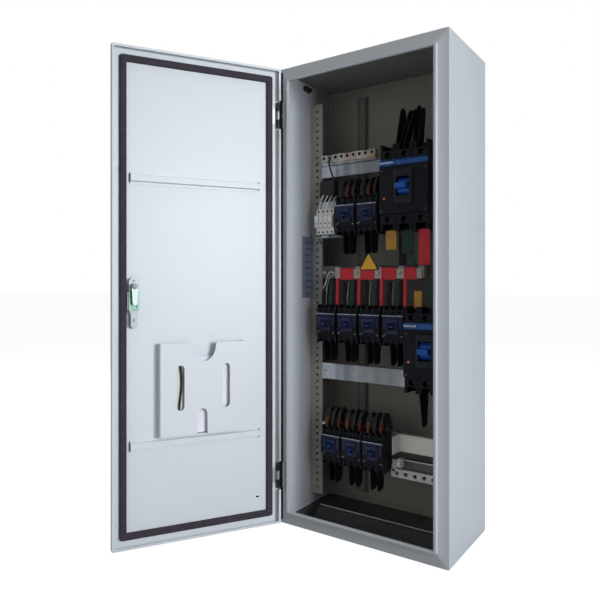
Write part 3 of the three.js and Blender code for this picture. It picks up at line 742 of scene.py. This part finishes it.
def breaker(name, o):
    p = Vector(JOINTS[name + "_toggle_swing"]["pos_m"]) / MM
    cx, yp, zc = p
    w, h, yf, st, term = o.w, o.h, o.yf, o.step, o.term
    z0, z1 = zc - h / 2, zc + h / 2
    x0, x1 = cx - w / 2, cx + w / 2
    ye = yf - o.esc
    big = w > 100
    poles = [cx + k * o.pitch for k in (-1, 0, 1)]
    gaps = [cx + k * o.pitch for k in (-0.5, 0.5)]
    screw_z = (z0 + term * 0.66, z1 - term * 0.66)
    # moulded case: stepped profile, terminal wells, screw holes and a parting line
    s = Shape(CASE)
    prof = [(BACK, z0), (yf + st, z0), (yf + st, z0 + term), (yf, z0 + term), (yf, z1 - term),
        (yf + st, z1 - term), (yf + st, z1), (BACK, z1)]
    s.prism(prof, "X", x0, x1)
    body = finish_mesh(s.bm, s.mats, name + "_body")
    c = Shape()
    c.box(cx - o.ew / 2 + 1, cx + o.ew / 2 - 1, ye - 5, yp + o.drum + 0.6, zc - o.drum - 0.6,
        zc + o.drum + 0.6)
    depth = 16 if big else 8
    rt = 10.5 if big else 4.6
    hw = o.pitch * (0.3 if big else 0.34)
    for x in poles:
        for za, zb in ((z0 - 2, z0 + term * 0.38), (z1 - term * 0.38, z1 + 2)):
            c.box(x - hw, x + hw, yf + st - 3, BACK - (40 if big else 26), za, zb)
        for z in screw_z:
            c.cyl("Y", (x, z), rt, yf + st - 5, yf + st + depth)
    gy = yf + (BACK - yf) * 0.52
    for xa, xb in ((x0 - 1, x0 + 0.8), (x1 - 0.8, x1 + 1)):
        c.box(xa, xb, gy, gy + 1.4, z0 - 1, z1 + 1)
    for x in gaps:
        c.box(x - 1.1, x + 1.1, yf + st - 2, BACK - 10, z0 - 2, z0 + term * 0.36)
        c.box(x - 1.1, x + 1.1, yf + st - 2, BACK - 10, z1 - term * 0.36, z1 + 2)
    cut(body, c)
    body.data.materials.clear()
    body.data.materials.append(CASE)
    put(body, C, name + "_case", bevel=0.9 if big else 0.6)

    # terminal covers, one for each pole at each end
    keep = term * 0.42
    hw = o.pitch * 0.46
    tone = CASE_T if big else CASE_S
    ends = (("b", z0 + 1.2 + keep, z0 + term - 1.5), ("t", z1 - term + 1.5, z1 - 1.2 - keep))
    for (end, za, zb), z in zip(ends, screw_z):
        for k, x in enumerate(poles):
            cover = plate(f"{name}_cover_{end}{k}", rrect(x - hw, x + hw, za, zb, 1.5, 2),
                [circle(x, z, rt - 0.4, 24)], yf + st - 1.2, yf + st + 0.2, tone, edge=0.3)
            put(cover, C)
    s = Shape(WINDOW if big else LABELB)
    e, eh, ww, wh = o.ew / 2, o.eh / 2, o.ww / 2, o.wh / 2
    s.ring([about(cx, zc, *v) for v in ((e, eh, 3, yf + 0.6), (e - 0.8, eh - 0.8, 3, ye + 0.4),
        (e - 2, eh - 2, 2.5, ye), (ww + 2, wh + 2, 2, ye), (ww, wh, 1.5, ye + 2.4), (ww, wh, 1.5, ye + 3.2),
        (e, eh, 3, ye + 3.4))])
    made(s, name + "_bezel", C, bevel=0)

    s = Shape()
    sz = z1 - term
    if big:
        s.mat(STRIPE).prism([(yf + 0.3, sz - 18), (yf - 1.6, sz - 17), (yf - 1.6, sz - 3),
            (yf + 2.4, sz + 2.4), (yf + 4, sz - 1)], "X", x0 + 0.4, x1 - 0.4)
        # a pale patch on the stripe's left end: painted highlight
        s.mat(BREAKER_EDGE_HIGHLIGHT).box(x0 + 2, x0 + w * 0.3, yf - 2, yf - 1.5, sz - 11, sz - 5)
        s.mat(CASE_T).box(x0 + 4, cx - e - 4, yf - 0.8, yf + 0.1, zc - 62, zc + 40)
        s.box(cx + e + 4, x1 - 4, yf - 0.8, yf + 0.1, zc - 62, zc + 40)
    else:
        # a pale line along the top of the front face: painted highlight on its edge
        s.mat(BREAKER_EDGE_HIGHLIGHT).box(x0 + 0.6, x1 - 0.6, yf - 1, yf + 0.1, sz - 3.2, sz - 0.4)
        s.mat(LABELB).box(x0 + 3, x1 - 3, yf - 0.6, yf + 0.1, sz - 11, sz - 4.4)
        s.box(x0 + 6, cx - e - 2, yf - 0.6, yf + 0.1, zc - 8, sz - 14)
        s.box(cx + e + 2, x1 - 6, yf - 0.6, yf + 0.1, zc - 8, sz - 14)
        s.mat(CASE_S)
        for dx in (-14.5, 14.5):
            s.box(cx + dx - 4, cx + dx + 4, ye - 0.6, ye + 0.4, zc - 20, zc + 14)
    made(s, name + "_labels", C, bevel=0.15, seg=1)

    s = Shape(BOLT)
    y = yf + st + depth
    for x in poles:
        for z in screw_z:
            s.mat(DARKBOLT).screw("Y", (x, z), 5.8 if big else 3.2, y, y - 3)
    fx = w / 2 - (9 if big else 5.5)
    for sx in (-1, 1):
        for z in (z0 + term + (8 if big else 5), z1 - term - (34 if big else 16)):
            s.mat(DARKBOLT if big or z > zc else BOLT).screw("Y", (cx + sx * fx, z), 4.2 if big else 1.9,
                yf, yf - 0.9)
    if big:
        s.mat(ORANGE if w < 150 else REDBTN).cyl("Y", (x0 + 18, zc - 38), 4.6, yf - 2.2, yf, 20)
        s.mat(PRINT).cyl("Y", (x0 + 18, zc - 38), 2, yf - 2.9, yf - 2, 16)
    else:
        s.mat(PRINT).cyl("Y", (x0 + 12, z0 + term + 9), 1.5, yf - 1, yf, 16)
        s.mat(REDBTN).cyl("Y", (cx + 17, zc - 16), 2, ye - 0.8, ye, 16)
    made(s, name + "_fixings", C, bevel=0)

    # slide-in barriers between the poles
    for i, x in enumerate(gaps):
        s = Shape(BARRIER_AND_SHADOW_STRIP)
        a, d = yf + st, BACK
        if o.down:
            L = o.down + (18 if big else 6)
            f0, f1 = (a + 2, a + 34) if big else (a + 2, a + 9)
            d1 = d - (14 if big else 8)
            pts = [(f0, z0 + term * 0.3), (d - 2, z0 + term * 0.3), (d - 4, z0 - L * 0.3)]
            pts += moved(((0, 9), (-7, 2), (-14, 0)), d1, z0 - L)
            pts += moved(((7, 0), (1, 5), (0, 12)), f1, z0 - L)
            s.prism(pts, "X", x - 0.9, x + 0.9)
        if o.up:
            L = o.up + 12
            pts = [(a + 2, z1 - term * 0.3), (a + 4, z1 + 8)]
            pts += moved(((38, -22), (44, -8), (54, 0)), a, z1 + L)
            pts += moved(((-12, 0), (-4, -8), (-2, -22)), d, z1 + L) + [(d - 2, z1 - term * 0.3)]
            s.prism(pts, "X", x - 0.9, x + 0.9)
        made(s, f"{name}_barrier_{i + 1}", C, bevel=0.3, seg=1)

    if o.up:
        # soft boots over the upper terminals, leaning to the right
        for i, (lean, spots) in enumerate(((0.2, ((-0.5, 1), (-0.5, 16))), (0.06, ((0.5, 4),)))):
            s = Shape(BARRIER_AND_SHADOW_STRIP)
            for k, dx in spots:
                x = cx + k * o.pitch + dx
                s.prism(moved(((30, -24), (34, 20), (56, o.up - 14), (62, o.up - 2), (72, o.up + 2),
                    (80, o.up - 10), (78, 14), (70, -24)), yf, z1), "X", x, x + 9)
            shear = Matrix(((1, 0, lean, -lean * z1), (0, 1, 0, 0), (0, 0, 1, 0), (0, 0, 0, 1)))
            made(s, f"{name}_boots_{i + 1}", C, M=shear, bevel=2.5, seg=3)

    # toggle: curved shield with a cheek at each side, and a tapered handle
    tw, tt, R, hw = o.tw / 2, o.tt, o.drum, o.hw / 2
    s = Shape(BLUE if big else CASE_S)

    def curve(r, steps, degrees):
        """Points about the pivot, facing the front."""
        return [(yp - r * cos(radians(i * degrees)), zc + r * sin(radians(i * degrees))) for i in steps]

    s.prism(curve(R, range(-7, 8), 11.5) + curve(R * 0.84, range(7, -8, -1), 11.5), "X", cx - tw, cx + tw)
    cheek = curve(R * 0.9, range(-6, 7), 12) + [(yp + R * 0.3, zc + R * 0.2), (yp + R * 0.3, zc - R * 0.2)]
    for sx in (-1, 1):
        s.prism(cheek, "X", cx + sx * (tw - 1.6) - 0.8, cx + sx * (tw - 1.6) + 0.8)
    s.mat(BLUE if big else BLUE_S)
    tip = o.tip
    side = ((-R * 0.86, tt * 0.5), (-R - 2, tt * 0.46), (3 - tip, tt * 0.38), (-tip, tt * 0.3))
    s.prism(moved([(y, -z) for y, z in side] + list(side[::-1]), yp, zc), "X", cx - hw, cx + hw)
    made(s, name + "_toggle_moulding", name + "_lever", name + "_toggle",
        bevel=0.8 if big else 0.5, seg=3)
    return cx, z0, z1


B = {}
for n in JOINTS:
    if n.endswith("_toggle_swing"):
        base = n[:-len("_toggle_swing")]
        kind = {"main_breaker": BIG_A, "tie_breaker": BIG_B}.get(base, SMALL)
        B[base] = breaker(base, kind)

# --------------------------------------------------- phase bars and droppers
BAR_T = 4


def strap(name, mat, x, w, z_lo, z_hi, y_lo, y_hi):
    """A sleeved flat bar that runs down, with a joggle when its ends differ in depth."""
    zm = (z_lo + z_hi) / 2
    if abs(y_lo - y_hi) < 1:
        pts = [(y_lo, z_lo), (y_hi, z_hi), (y_hi + BAR_T, z_hi), (y_lo + BAR_T, z_lo)]
    else:
        pts = [(y_lo, z_lo), (y_lo, zm - 12), (y_hi, zm + 12), (y_hi, z_hi), (y_hi + BAR_T, z_hi),
            (y_hi + BAR_T, zm + 12), (y_lo + BAR_T, zm - 12), (y_lo + BAR_T, z_lo)]
    s = Shape(mat).prism(pts, "X", x - w / 2, x + w / 2)
    made(s, name, C, bevel=1, seg=3)


mcx, mz0, _ = B["main_breaker"]
tcx, _, tz1 = B["tie_breaker"]
strap("phase_bar_yellow", YEL, mcx - 57, 38, mz0 - 62, mz0 + 4, -24, -24)
strap("phase_bar_green", GRN, mcx, 38, mz0 - 76, mz0 + 4, -24, -24)
strap("phase_bar_red", REDS, mcx + 57, 38, mz0 - 116, mz0 + 4, -24, -24)
strap("phase_tail_green", GRN, mcx + 12, 24, 902, mz0 - 72, -16, -24)
strap("phase_tail_black", BARRIER_AND_SHADOW_STRIP, mcx - 22, 26, 905, mz0 - 8, -10, -14)
strap("tie_bar_yellow", YEL, tcx - 40, 26, tz1 - 6, tz1 + 52, -16, -16)
strap("tie_bar_green", GRN, tcx + 2, 26, tz1 - 6, tz1 + 86, -16, -16)
strap("tie_bar_red", REDD, tcx + 44, 26, tz1 - 6, tz1 + 86, -16, -16)
for i in range(1, 5):
    cx, _, z1 = B[f"middle_breaker_{i}"]
    strap(f"drop_red_{i}", REDS, cx + 32, 12, z1 - 5, 862, -9, -7)
    strap(f"drop_green_{i}", GRN, cx + 4, 14, z1 - 5, 856, -8, -2)
    strap(f"drop_black_{i}", BARRIER_AND_SHADOW_STRIP, cx + 18, 11, z1 - 5, 856, -6, -2)
    strap(f"drop_dark_{i}", BARRIER_AND_SHADOW_STRIP, cx - 24, 14, z1 - 5, 852, -8, -2)
    wire(f"drop_lead_{i}", [(cx - 9, -13, z1 - 4), (cx - 9, -14, z1 + 24), (cx - 8, -10, z1 + 60),
        (cx - 8, -2, 850)], 1.3, DIMW)


# loops of lead over the small rows
for row, count, top, tones in (
        ("upper", 2, 62, (BLACKW, REDD, BLACKW)), ("lower", 3, 66, (BROWN, BLACKW, REDD))):
    for n in [f"{row}_breaker_{i + 1}" for i in range(count)]:
        cx, _, z1 = B[n]
        for k, m in zip((-1, 0, 1), tones):
            x = cx + 24 * k
            wire(f"{n}_sleeve_{k + 2}", [(x, -16, z1 - 4), (x + 1, -20, z1 + 14), (x + 3, -15, z1 + 32)],
                6.8, m)
            wire(f"{n}_lead_{k + 2}", [(x + 3, -16, z1 + 28), (x + 5, -8, z1 + top - 12 + 3 * k),
                (x + 10, 6, z1 + top - 4 + 2 * k), (x + 16, 20, z1 + top - 24), (x + 17, 28, z1 + 8)], 5.8,
                BLACKW)
            wire(f"{n}_back_lead_{k + 2}", [(x - 7, -6, z1 - 2), (x - 8, -9, z1 + 22),
                (x - 4, -2, z1 + top - 18 - 2 * k), (x + 3, 12, z1 + top - 14), (x + 6, 26, z1 + 16)], 5.2,
                BLACKW)

# surge unit leads and the loop below them, terminal row lead, busbar leads, and the trunk
b = mm_box("surge_unit")
for i in range(4):
    x = b[0] + 9 + 18 * i
    wire(f"surge_lead_{i + 1}", [(x, -10, 1112), (x, -12, 1130), (x + 2, -6, 1150),
        (x + 4, 8, 1172 - 3 * i)], 3, WHITEW)
wire("surge_loop", [(b[0] + 9, -8, 1026), (b[0] + 10, -12, 1000), (b[0] + 26, -10, 985),
    (b[0] + 44, -8, 1002), (b[0] + 46, -6, 1026)], 2.2, BLACKW)
wire("strip_lead", [(-205, 16, 1306), (-204, 8, 1296), (-200, 14, 1262), (-188, 20, 1220),
    (-186, 10, 1165)], 3.2, BLACKW)
wire("bus_sense_lead_1", [(-176, -4, 880), (-190, -8, 886), (-202, -10, 862), (-210, -12, 838),
    (-222, -2, 826)], 1.9, WHITEW)
wire("bus_sense_lead_2", [(-173, -5, 873), (-186, -9, 872), (-196, -12, 850), (-204, -10, 828),
    (-214, 0, 812)], 1.7, DIMW)
s = Shape(BLACKW)
s.prism(rrect(-243, -182, 1160, 1226, 8, 4), "Y", 8, 36)
made(s, "wire_trunk", C, bevel=3, seg=3)

# plain warning triangle on the busbar rail: dark rim, yellow face, no symbol


def rounded_triangle(inset_mm, r):
    """Corners of the label, drawn in by inset_mm and rounded."""
    mid = Vector((-38, 912))
    corners = [mid + (Vector(p) - mid) * (1 - inset_mm / 22) for p in ((-76, 890), (0, 890), (-38, 956))]
    pts = []
    for i, p in enumerate(corners):
        before = (corners[i - 1] - p).normalized()
        after = (corners[(i + 1) % 3] - p).normalized()
        pa, pb = p + before * r, p + after * r
        pts += [(pa.lerp(p, k).lerp(p.lerp(pb, k), k))[:] for k in (0, 0.25, 0.5, 0.75, 1)]
    return pts


s = Shape(BLACK_RIM_AND_HOLE_SHADE).prism(rounded_triangle(0, 8), "Y", -8.2, -7)
s.mat(WARN).prism(rounded_triangle(3.2, 5), "Y", -9, -8.1)
made(s, "warning_plate", C, bevel=0.2, seg=1)
s = Shape(CREAM).box(-42, -34, -7.1, -3.5, 892, 906)
made(s, "warning_clip", C, bevel=0.5)

# two round plugs high on the left wall
s = Shape(BLACKW)
for y, z in ((-8, 1578), (14, 1576)):
    s.cyl("X", (y, z), 11, -298, -291).cyl("X", (y, z), 7.5, -291, -281)
made(s, "wall_plugs", C, bevel=1)

# ---------------------------------------------------------------------- hinges
# a near-black strip on the flange by the hinge side: painted shadow of the open door's edge
s = Shape(BARRIER_AND_SHADOW_STRIP).box(-291, -280.5, YF - 0.5, YF + 0.5, 12, H - 12)
made(s, "hinge_side_painted_shadow", C, bevel=0.2, seg=1)
for tag in ("hinge_upper", "hinge_lower"):
    f = mm_box(tag + "_frame_leaf")
    z0, z1 = f[2], f[5]
    t = (z1 - z0) / 3
    s = Shape(BLACKM)
    s.prism(rrect(HX, HX + 13, z0, z1, 1.5, 3), "Y", YF - 0.4, -188)
    s.mat(PAINT_BODY_SHADED).prism(rrect(HX + 13.1, HX + 23, z0, z1, 2.5, 3), "Y", YF - 0.4, -188)
    s.mat(BLACKM)
    for a, c in ((z0, z0 + t - 0.2), (z1 - t + 0.2, z1)):
        s.cyl("Z", (HX, HY), 5.5, a, c, 32)
        s.prism([(HX, HY + 1), (HX + 5.4, HY), (HX + 5.4, -187), (HX, -187)], "Z", a, c)
    made(s, tag + "_frame_part", C, tag + "_frame_leaf", bevel=0.5)
    s = Shape(BOLT)
    for z in (z0 + 14, (z0 + z1) / 2, z1 - 14):
        s.screw("Y", (HX + 15, z), 3.8, -188, -190.4)
    made(s, tag + "_screws", C, bevel=0)
    s = Shape(ZINC)
    s.cyl("Z", (HX, HY), 5.5, z0 + t + 0.2, z1 - t - 0.2, 32)
    s.prism([(HX, HY), (HX + 5.4, HY), (HX + 5.4, DI + 0.5), (HX, DI + 0.5)], "Z", z0 + t + 0.2,
        z1 - t - 0.2)
    s.prism(rrect(HX, HX + 19, z0 + t - 12, z1 - t + 12, 2.5, 3), "Y", DI + 0.3, DI + 1.8)
    made(s, tag + "_door_part", "door", tag + "_door_leaf", M=DOOR, bevel=0.5)
    s = Shape(BOLT)
    s.cyl("Z", (HX, HY), 2.5, z0 - 1.5, z1 + 0.4).cyl("Z", (HX, HY), 4, z1 + 0.3, z1 + 1.6)
    s.cyl("Z", (HX, HY), 4, z1 + 1.6, z1 + 2.3, 24, 3)
    made(s, tag + "_pin_turned", C, tag + "_pin", bevel=0.3)

# ------------------------------------------------------------------------ door
D = "door"
# gap between the door's edge and the cabinet's top and bottom
DOOR_GAP = 3


def dl(d, r, y):
    """A loop that stands d inside the door's outline."""
    return (-X1 + d, X1 - d, DOOR_GAP + d, H - DOOR_GAP - d, r, y)


s = Shape(PAINT)
s.ring([dl(1.5, 3, DI), dl(1.5, 3, DY1 - 1.5), dl(8, 2, DY1 - 1.5), dl(8, 2, DY1 - 0.2), dl(1.2, 3.6, DY1),
    dl(0.3, 4, DY1 - 0.5), dl(0, 4, DY1 - 1.2), dl(0, 4, DY0 + 2.4), dl(0.3, 4, DY0 + 1.1),
    dl(1.1, 4, DY0 + 0.3), dl(2.4, 3, DY0)], solid=True)
pan = finish_mesh(s.bm, s.mats, "door_pan", DOOR, smooth=50)
c = Shape()
for tag in ("hinge_upper", "hinge_lower"):
    f = mm_box(tag + "_frame_leaf")
    c.box(-X1 - 5, -X1 + 8.5, DI + 0.4, DY1 + 5, f[2] - 4, f[5] + 6)
cut(pan, c, DOOR)
pan.data.materials.clear()
pan.data.materials.append(PAINT)
put(pan, D, "door_panel")

# the gasket's outer edges: half width, and distance from the cabinet's top and bottom
SEAL_X, SEAL_Z = 272, 30
gy = YLIP - 0.4
s = Shape(FOAM)


def gl(d, r, y):
    """Gasket loop: d runs from the outer edge inwards."""
    return (-SEAL_X + d, SEAL_X - d, SEAL_Z + d, H - SEAL_Z - d, r, y)


s.ring([gl(0, 9, DI + 0.2), gl(0, 9, gy - 3.5), gl(1.2, 8, gy - 1.2), gl(3.6, 7, gy), gl(9, 5, gy - 0.4),
    gl(13, 5, gy - 0.4), gl(18.4, 4, gy), gl(20.8, 3, gy - 1.2), gl(22, 3, gy - 3.5), gl(22, 3, DI + 0.2)])
made(s, "door_seal", D, "door_gasket", M=DOOR, bevel=0)

for n in ("stiffener_upper", "stiffener_lower"):
    z = mm_box(n)[2]
    s = Shape(PAINT)
    a, d = DI + 0.3, DI + 11
    s.prism([(a, z), (a + 1.2, z), (a + 1.2, z + 8.6), (d, z + 10.6), (d, z + 29.4), (a + 1.2, z + 31.4),
        (a + 1.2, z + 40), (a, z + 40), (a, z + 32.8), (d - 1.4, z + 29), (d - 1.4, z + 11),
        (a, z + 7.2)][::-1], "X", -220, 238)
    made(s, n + "_hat", D, n, M=DOOR, bevel=0.5)
    s = Shape(PAINT)
    for x in (-206, -60, 84, 224):
        for dz in (4.2, 35.8):
            s.cyl("Y", (x, z + dz), 2.8, a + 1.1, a + 1.7, 20, 2.1)
    made(s, n + "_spots", D, M=DOOR, bevel=0)

# document pocket
px0, px1, pz0, pz1, py = -154, 145, 348, 650, DI + 0.3 + 28
xm = (px0 + px1) / 2
pts = [(px0, pz0 + 3), (px0 + 3, pz0), (xm - 13, pz0), (xm - 13, pz0 + 66)]
pts += arc(xm + 4.5, pz0 + 66, 17.5, range(165, 0, -15))
pts += [(xm + 22, pz0 + 66), (xm + 22, pz0), (px1 - 3, pz0), (px1, pz0 + 3), (px1, pz1 - 3), (px1 - 3, pz1),
    (xm + 47, pz1), (xm + 44, pz1 - 3)]
pts += arc(xm, 640, 43, range(-5, -180, -10), 52)
pts += [(xm - 44, pz1 - 3), (xm - 47, pz1), (px0 + 3, pz1), (px0, pz1 - 3)]
slots = [rrect(xm + a, xm + a + 26, 431, 577, 12.9, 8) for a in (68, -94)]
p = plate("pocket_front", pts, slots, py - 1.8, py, PAINT, M=DOOR, edge=0.5)
put(p, D, "document_pocket")
s = Shape(PAINT)
a = DI + 0.35
for x in (px0, px1 - 1.6):
    s.box(x, x + 1.6, a, py - 1.6, pz0, pz1)
s.box(px0 + 1.7, px1 - 1.7, a, py - 1.6, pz0, pz0 + 1.6)
for xa, xb in ((px0, px0 + 12), (px1 - 12, px1)):
    s.box(xa, xb, a, a + 1.2, pz0 + 10, pz1 - 10)
made(s, "pocket_sides", D, M=DOOR)
s = Shape(WHITE_PLASTIC_AND_HIGHLIGHT).prism(rrect(-226, -206, 96, 108, 1, 2), "Y", DI, DI + 0.5)
s.mat(BLACKW).box(-222, -210, DI + 0.4, DI + 0.8, 99, 105)
made(s, "door_tag", D, M=DOOR, bevel=0)

s = Shape(PAPER_AND_GLAND_HIGHLIGHT)
s.prism([(px0 + 5, pz0 + 3), (xm + 34, pz0 + 3), (xm + 34, 606), (xm + 10, 600), (xm - 40, 604),
    (px0 + 5, 602)], "Y", a + 12, a + 13.2)
s.mat(WHITEW).prism([(xm + 38, pz0 + 3), (px1 - 4, pz0 + 3), (px1 - 4, 592), (xm + 38, 596)], "Y", a + 15,
    a + 17)
made(s, "pocket_papers", D, M=DOOR, bevel=0.3, seg=1)

# a dark curve behind the pocket's left slot: painted shade
wire("slot_shade_curve", [(xm + 84, a + 20, 420), (xm + 82, a + 21, 452), (xm + 77, a + 21, 490),
    (xm + 75, a + 21, 530), (xm + 80, a + 21, 572), (xm + 84, a + 20, 590)], 3.4, SLOT_SHADE, body="door",
    M=DOOR)

# ------------------------------------------------------------------------ lock
y0, y1 = -211.8, -207.8
p = plate("lock_escutcheon", rrect(LX - 20, LX + 20, 688.5, 851.5, 6, 5), [circle(LX, LZ, 6.2, 24),
    rrect(LX - 9, LX + 9, 708, 733, 1, 2)], y0, y1, CHROME, M=DOOR, edge=0.9)
put(p, D, "lock_faceplate")
a = DI + 0.3
s = Shape(ZGREEN)
s.box(LX - 17, LX - 15, a, -190, 758, 822).box(LX + 15, LX + 17, a, -190, 758, 822)
s.ring([about(LX, 790, w, h, 2, y) for w, h, y in ((17, 32, -192), (17, 32, -190), (9, 25, -190),
    (9, 25, -192))])
s.box(LX - 9.2, LX + 9.2, -194.6, -193.2, 762, 818)
s.mat(ZINC_LOCK)
lobe = arc(LX, 847, 17, range(0, 181, 12))
s.prism([(LX - 17, 823), *lobe[::-1], (LX + 17, 823)][::-1], "Y", -194, -190.5)
s.box(LX - 17, LX - 14.5, a, -193.8, 823, 850).box(LX + 14.5, LX + 17, a, -193.8, 823, 850)
tongue = arc(LX, 714, 11, range(180, 361, 12))
s.prism([*tongue, (LX + 11, 750), (LX - 11, 750)], "Y", -194, -189)
s.box(LX - 8, LX + 8, a, -193.8, 716, 748)
s.box(LX - 14, LX + 14, a, -192, 750, 757)
s.box(LX + 17, LX + 20.5, a + 2, -194, 762, 816)
lb = finish_mesh(s.bm, s.mats, "lock_clamp", DOOR)
cc = Shape().cyl("Y", (LX, LZ), 6.3, -260, -150)
cut(lb, cc, DOOR)
put(lb, D, "lock_body", bevel=0.6)
s = Shape(NUT)
for z in (820, 728):
    yy = -190.6 if z > 800 else -189.2
    s.cyl("Y", (LX, z if z < 800 else 853), 4.2, yy, yy + 2.4, 6)
made(s, "lock_nuts", D, M=DOOR, bevel=0.3)

s = Shape(BUTTON)
s.ring([about(LX, 720.5, *v) for v in ((8.7, 12.2, 1.5, -201), (8.7, 12.2, 1.5, -214.9),
    (8.2, 11.7, 1.4, -215.7), (7.2, 10.7, 1.2, -216))], solid=True)
for i in range(3):
    s.box(LX - 6, LX + 6, -216.35, -215.9, 725 + 2.2 * i, 725.9 + 2.2 * i)
btn = finish_mesh(s.bm, s.mats, "push_button", DOOR)
cc = Shape().cyl("Y", (KEY.x, KEY.z), 5.3, -260, -150)
cut(btn, cc, DOOR)
put(btn, "button", "release_button")
s = Shape(CHROME).cyl("Y", (KEY.x, KEY.z), 5.05, -204, -215.8, 32).cyl("Y", (KEY.x, KEY.z), 5.05, -215.8,
    -216.4, 32, 4.5)
# near-black keyway: painted shade
s.mat(BLACK_RIM_AND_HOLE_SHADE).box(KEY.x - 0.8, KEY.x + 0.8, -216.5, -215, KEY.z - 3.5, KEY.z + 3.5)
made(s, "key_barrel", "key", "key_core", M=DOOR, bevel=0)

# pivot, lift pin, lever and cam, in stowed coordinates
s = Shape(CHROME)
s.cyl("Y", (LX, LZ), 11, -212.1, -215.2, 40).cyl("Y", (LX, LZ), 11, -215.2, -215.8, 40, 10.3)
s.cyl("Y", (LX, LZ), 6, -212.2, -176, 32)
s.prism([(-215.7, LZ - 5.5), (-224, LZ - 5.5), (-224, LZ + 3.5), (-222, LZ + 5.5),
    (-215.7, LZ + 5.5)][::-1], "X", LX - 4, LX + 4)
made(s, "handle_hub", "handle", "handle_pivot", M=HANDLE, bevel=0.3)
s = Shape(BOLT).cyl("X", (-220, LZ), 2, LX - 12.5, LX + 12.5, 20)
made(s, "lift_pin_turned", "handle", "lift_pin", M=HANDLE, bevel=0.3)
s = Shape(CHROME)
s.ring([(LX - w, LX + w, *v) for w, *v in ((12, 735, 822.5, 5, -213), (12, 735, 822.5, 5, -221.5),
    (11.4, 735.6, 822.3, 5, -223.2), (9.6, 737.6, 821.8, 4.4, -224.2), (7.4, 740, 820.5, 4, -224.5))],
    solid=True, n=5)
for sx in (-1, 1):
    xa, xb = sorted((LX + sx * 4.6, LX + sx * 12))
    eye = [(-220 - 3.7 * sin(radians(t)), LZ + 3.7 * cos(radians(t))) for t in range(-90, 91, 15)]
    s.prism([(-216.3, 815), *eye, (-223.7, 815)], "X", xa, xb)
made(s, "lever_casting", "lever", "handle_lever", M=HANDLE, bevel=0.5)
cam = arc(LX, LZ, 11, range(90, 271, 15))
cam += arc(LX + 52, LZ, 8, range(-90, 91, 15))
p = plate("cam_plate", cam, [circle(LX, LZ, 6.1, 24)], -182, -178, ZINC_PALE, M=HANDLE, edge=0.5)
put(p, "handle", "latch_cam")
s = Shape(NUT).cyl("Y", (LX, LZ), 9.5, -177.9, -171.5, 6).cyl("Y", (LX, LZ), 5, -171.6, -169.4, 20, 4.2)
made(s, "cam_lock_nut", "handle", M=HANDLE, bevel=0.5)

# ---------------------------------------------------------- stage and lighting
# how bright the floor looks to the camera, and how much light the surroundings give
FLOOR_GLOW, WORLD_LIGHT = 0.86, 0.22
fl = bpy.data.meshes.new("floor")
fl.from_pydata([(-40, -40, 0), (40, -40, 0), (40, 40, 0), (-40, 40, 0)], [], [(0, 1, 2, 3)])
floor = placed("floor", fl)
floor.location.z = -0.002
pale, nt, b = principled("studio_floor")
seen = node(nt, "LightPath").outputs["Is Camera Ray"]
connect(nt, b, Base_Color=(0.42, 0.42, 0.42, 1), Roughness=0.9, Emission_Color=(1, 1, 1, 1),
    Emission_Strength=product(nt, seen, FLOOR_GLOW))
fl.materials.append(pale)


def area(name, loc, target, size, power, col=(1, 1, 1), glints=True):
    li = bpy.data.lights.new(name, "AREA")
    li.shape = "RECTANGLE"
    li.size, li.size_y = size
    li.energy = power
    li.color = col
    ob = placed(name, li)
    ob.location = loc
    ob.rotation_euler = (Vector(target) - Vector(loc)).to_track_quat("-Z", "Y").to_euler()
    ob.visible_glossy = glints


area("key_right", (3.3, -1.85, 1.45), (-0.1, -0.25, 0.9), (1.5, 1.9), 22, (0.9, 0.94, 1))
area("sheen_right", (3.75, -0.75, 1.4), (-0.45, -0.5, 0.9), (1, 1.6), 112, (0.89, 0.93, 1))
area("top_soft", (0, 0.2, 4.4), (0, 0, 0), (2.6, 2.6), 50, glints=False)
area("fill_front", (-0.9, -4.4, 1.1), (0, 0, 0.8), (2.4, 2.4), 14, glints=False)
area("rim_left", (-3.6, 0.7, 2.1), (-0.3, 0, 0.8), (1.8, 2.4), 72, glints=False)
area("rim_back", (-1.1, 3.6, 2.1), (0, 0.1, 0.8), (1.8, 2.4), 95, glints=False)

w = bpy.data.worlds.new("studio")
w.use_nodes = True
nt = w.node_tree
seen = node(nt, "LightPath").outputs["Is Camera Ray"]
connect(nt, nt.nodes["Background"], Color=(1, 1, 1, 1), Strength=between(nt, seen, WORLD_LIGHT, 1))
bpy.context.scene.world = w
bpy.context.scene.view_settings.view_transform = "Standard"

# stands where the photograph was taken
cam = bpy.data.cameras.new("camera")
cam.sensor_width = 36
cam.lens = 36.34
cam.shift_x = 0.122
cam.shift_y = -0.029
cam.clip_start, cam.clip_end = 0.05, 60
co = placed("camera", cam)
co.location = (0.888, -1.985, 0.847)
co.rotation_euler = (radians(90), 0, radians(38.29))
bpy.context.scene.camera = co
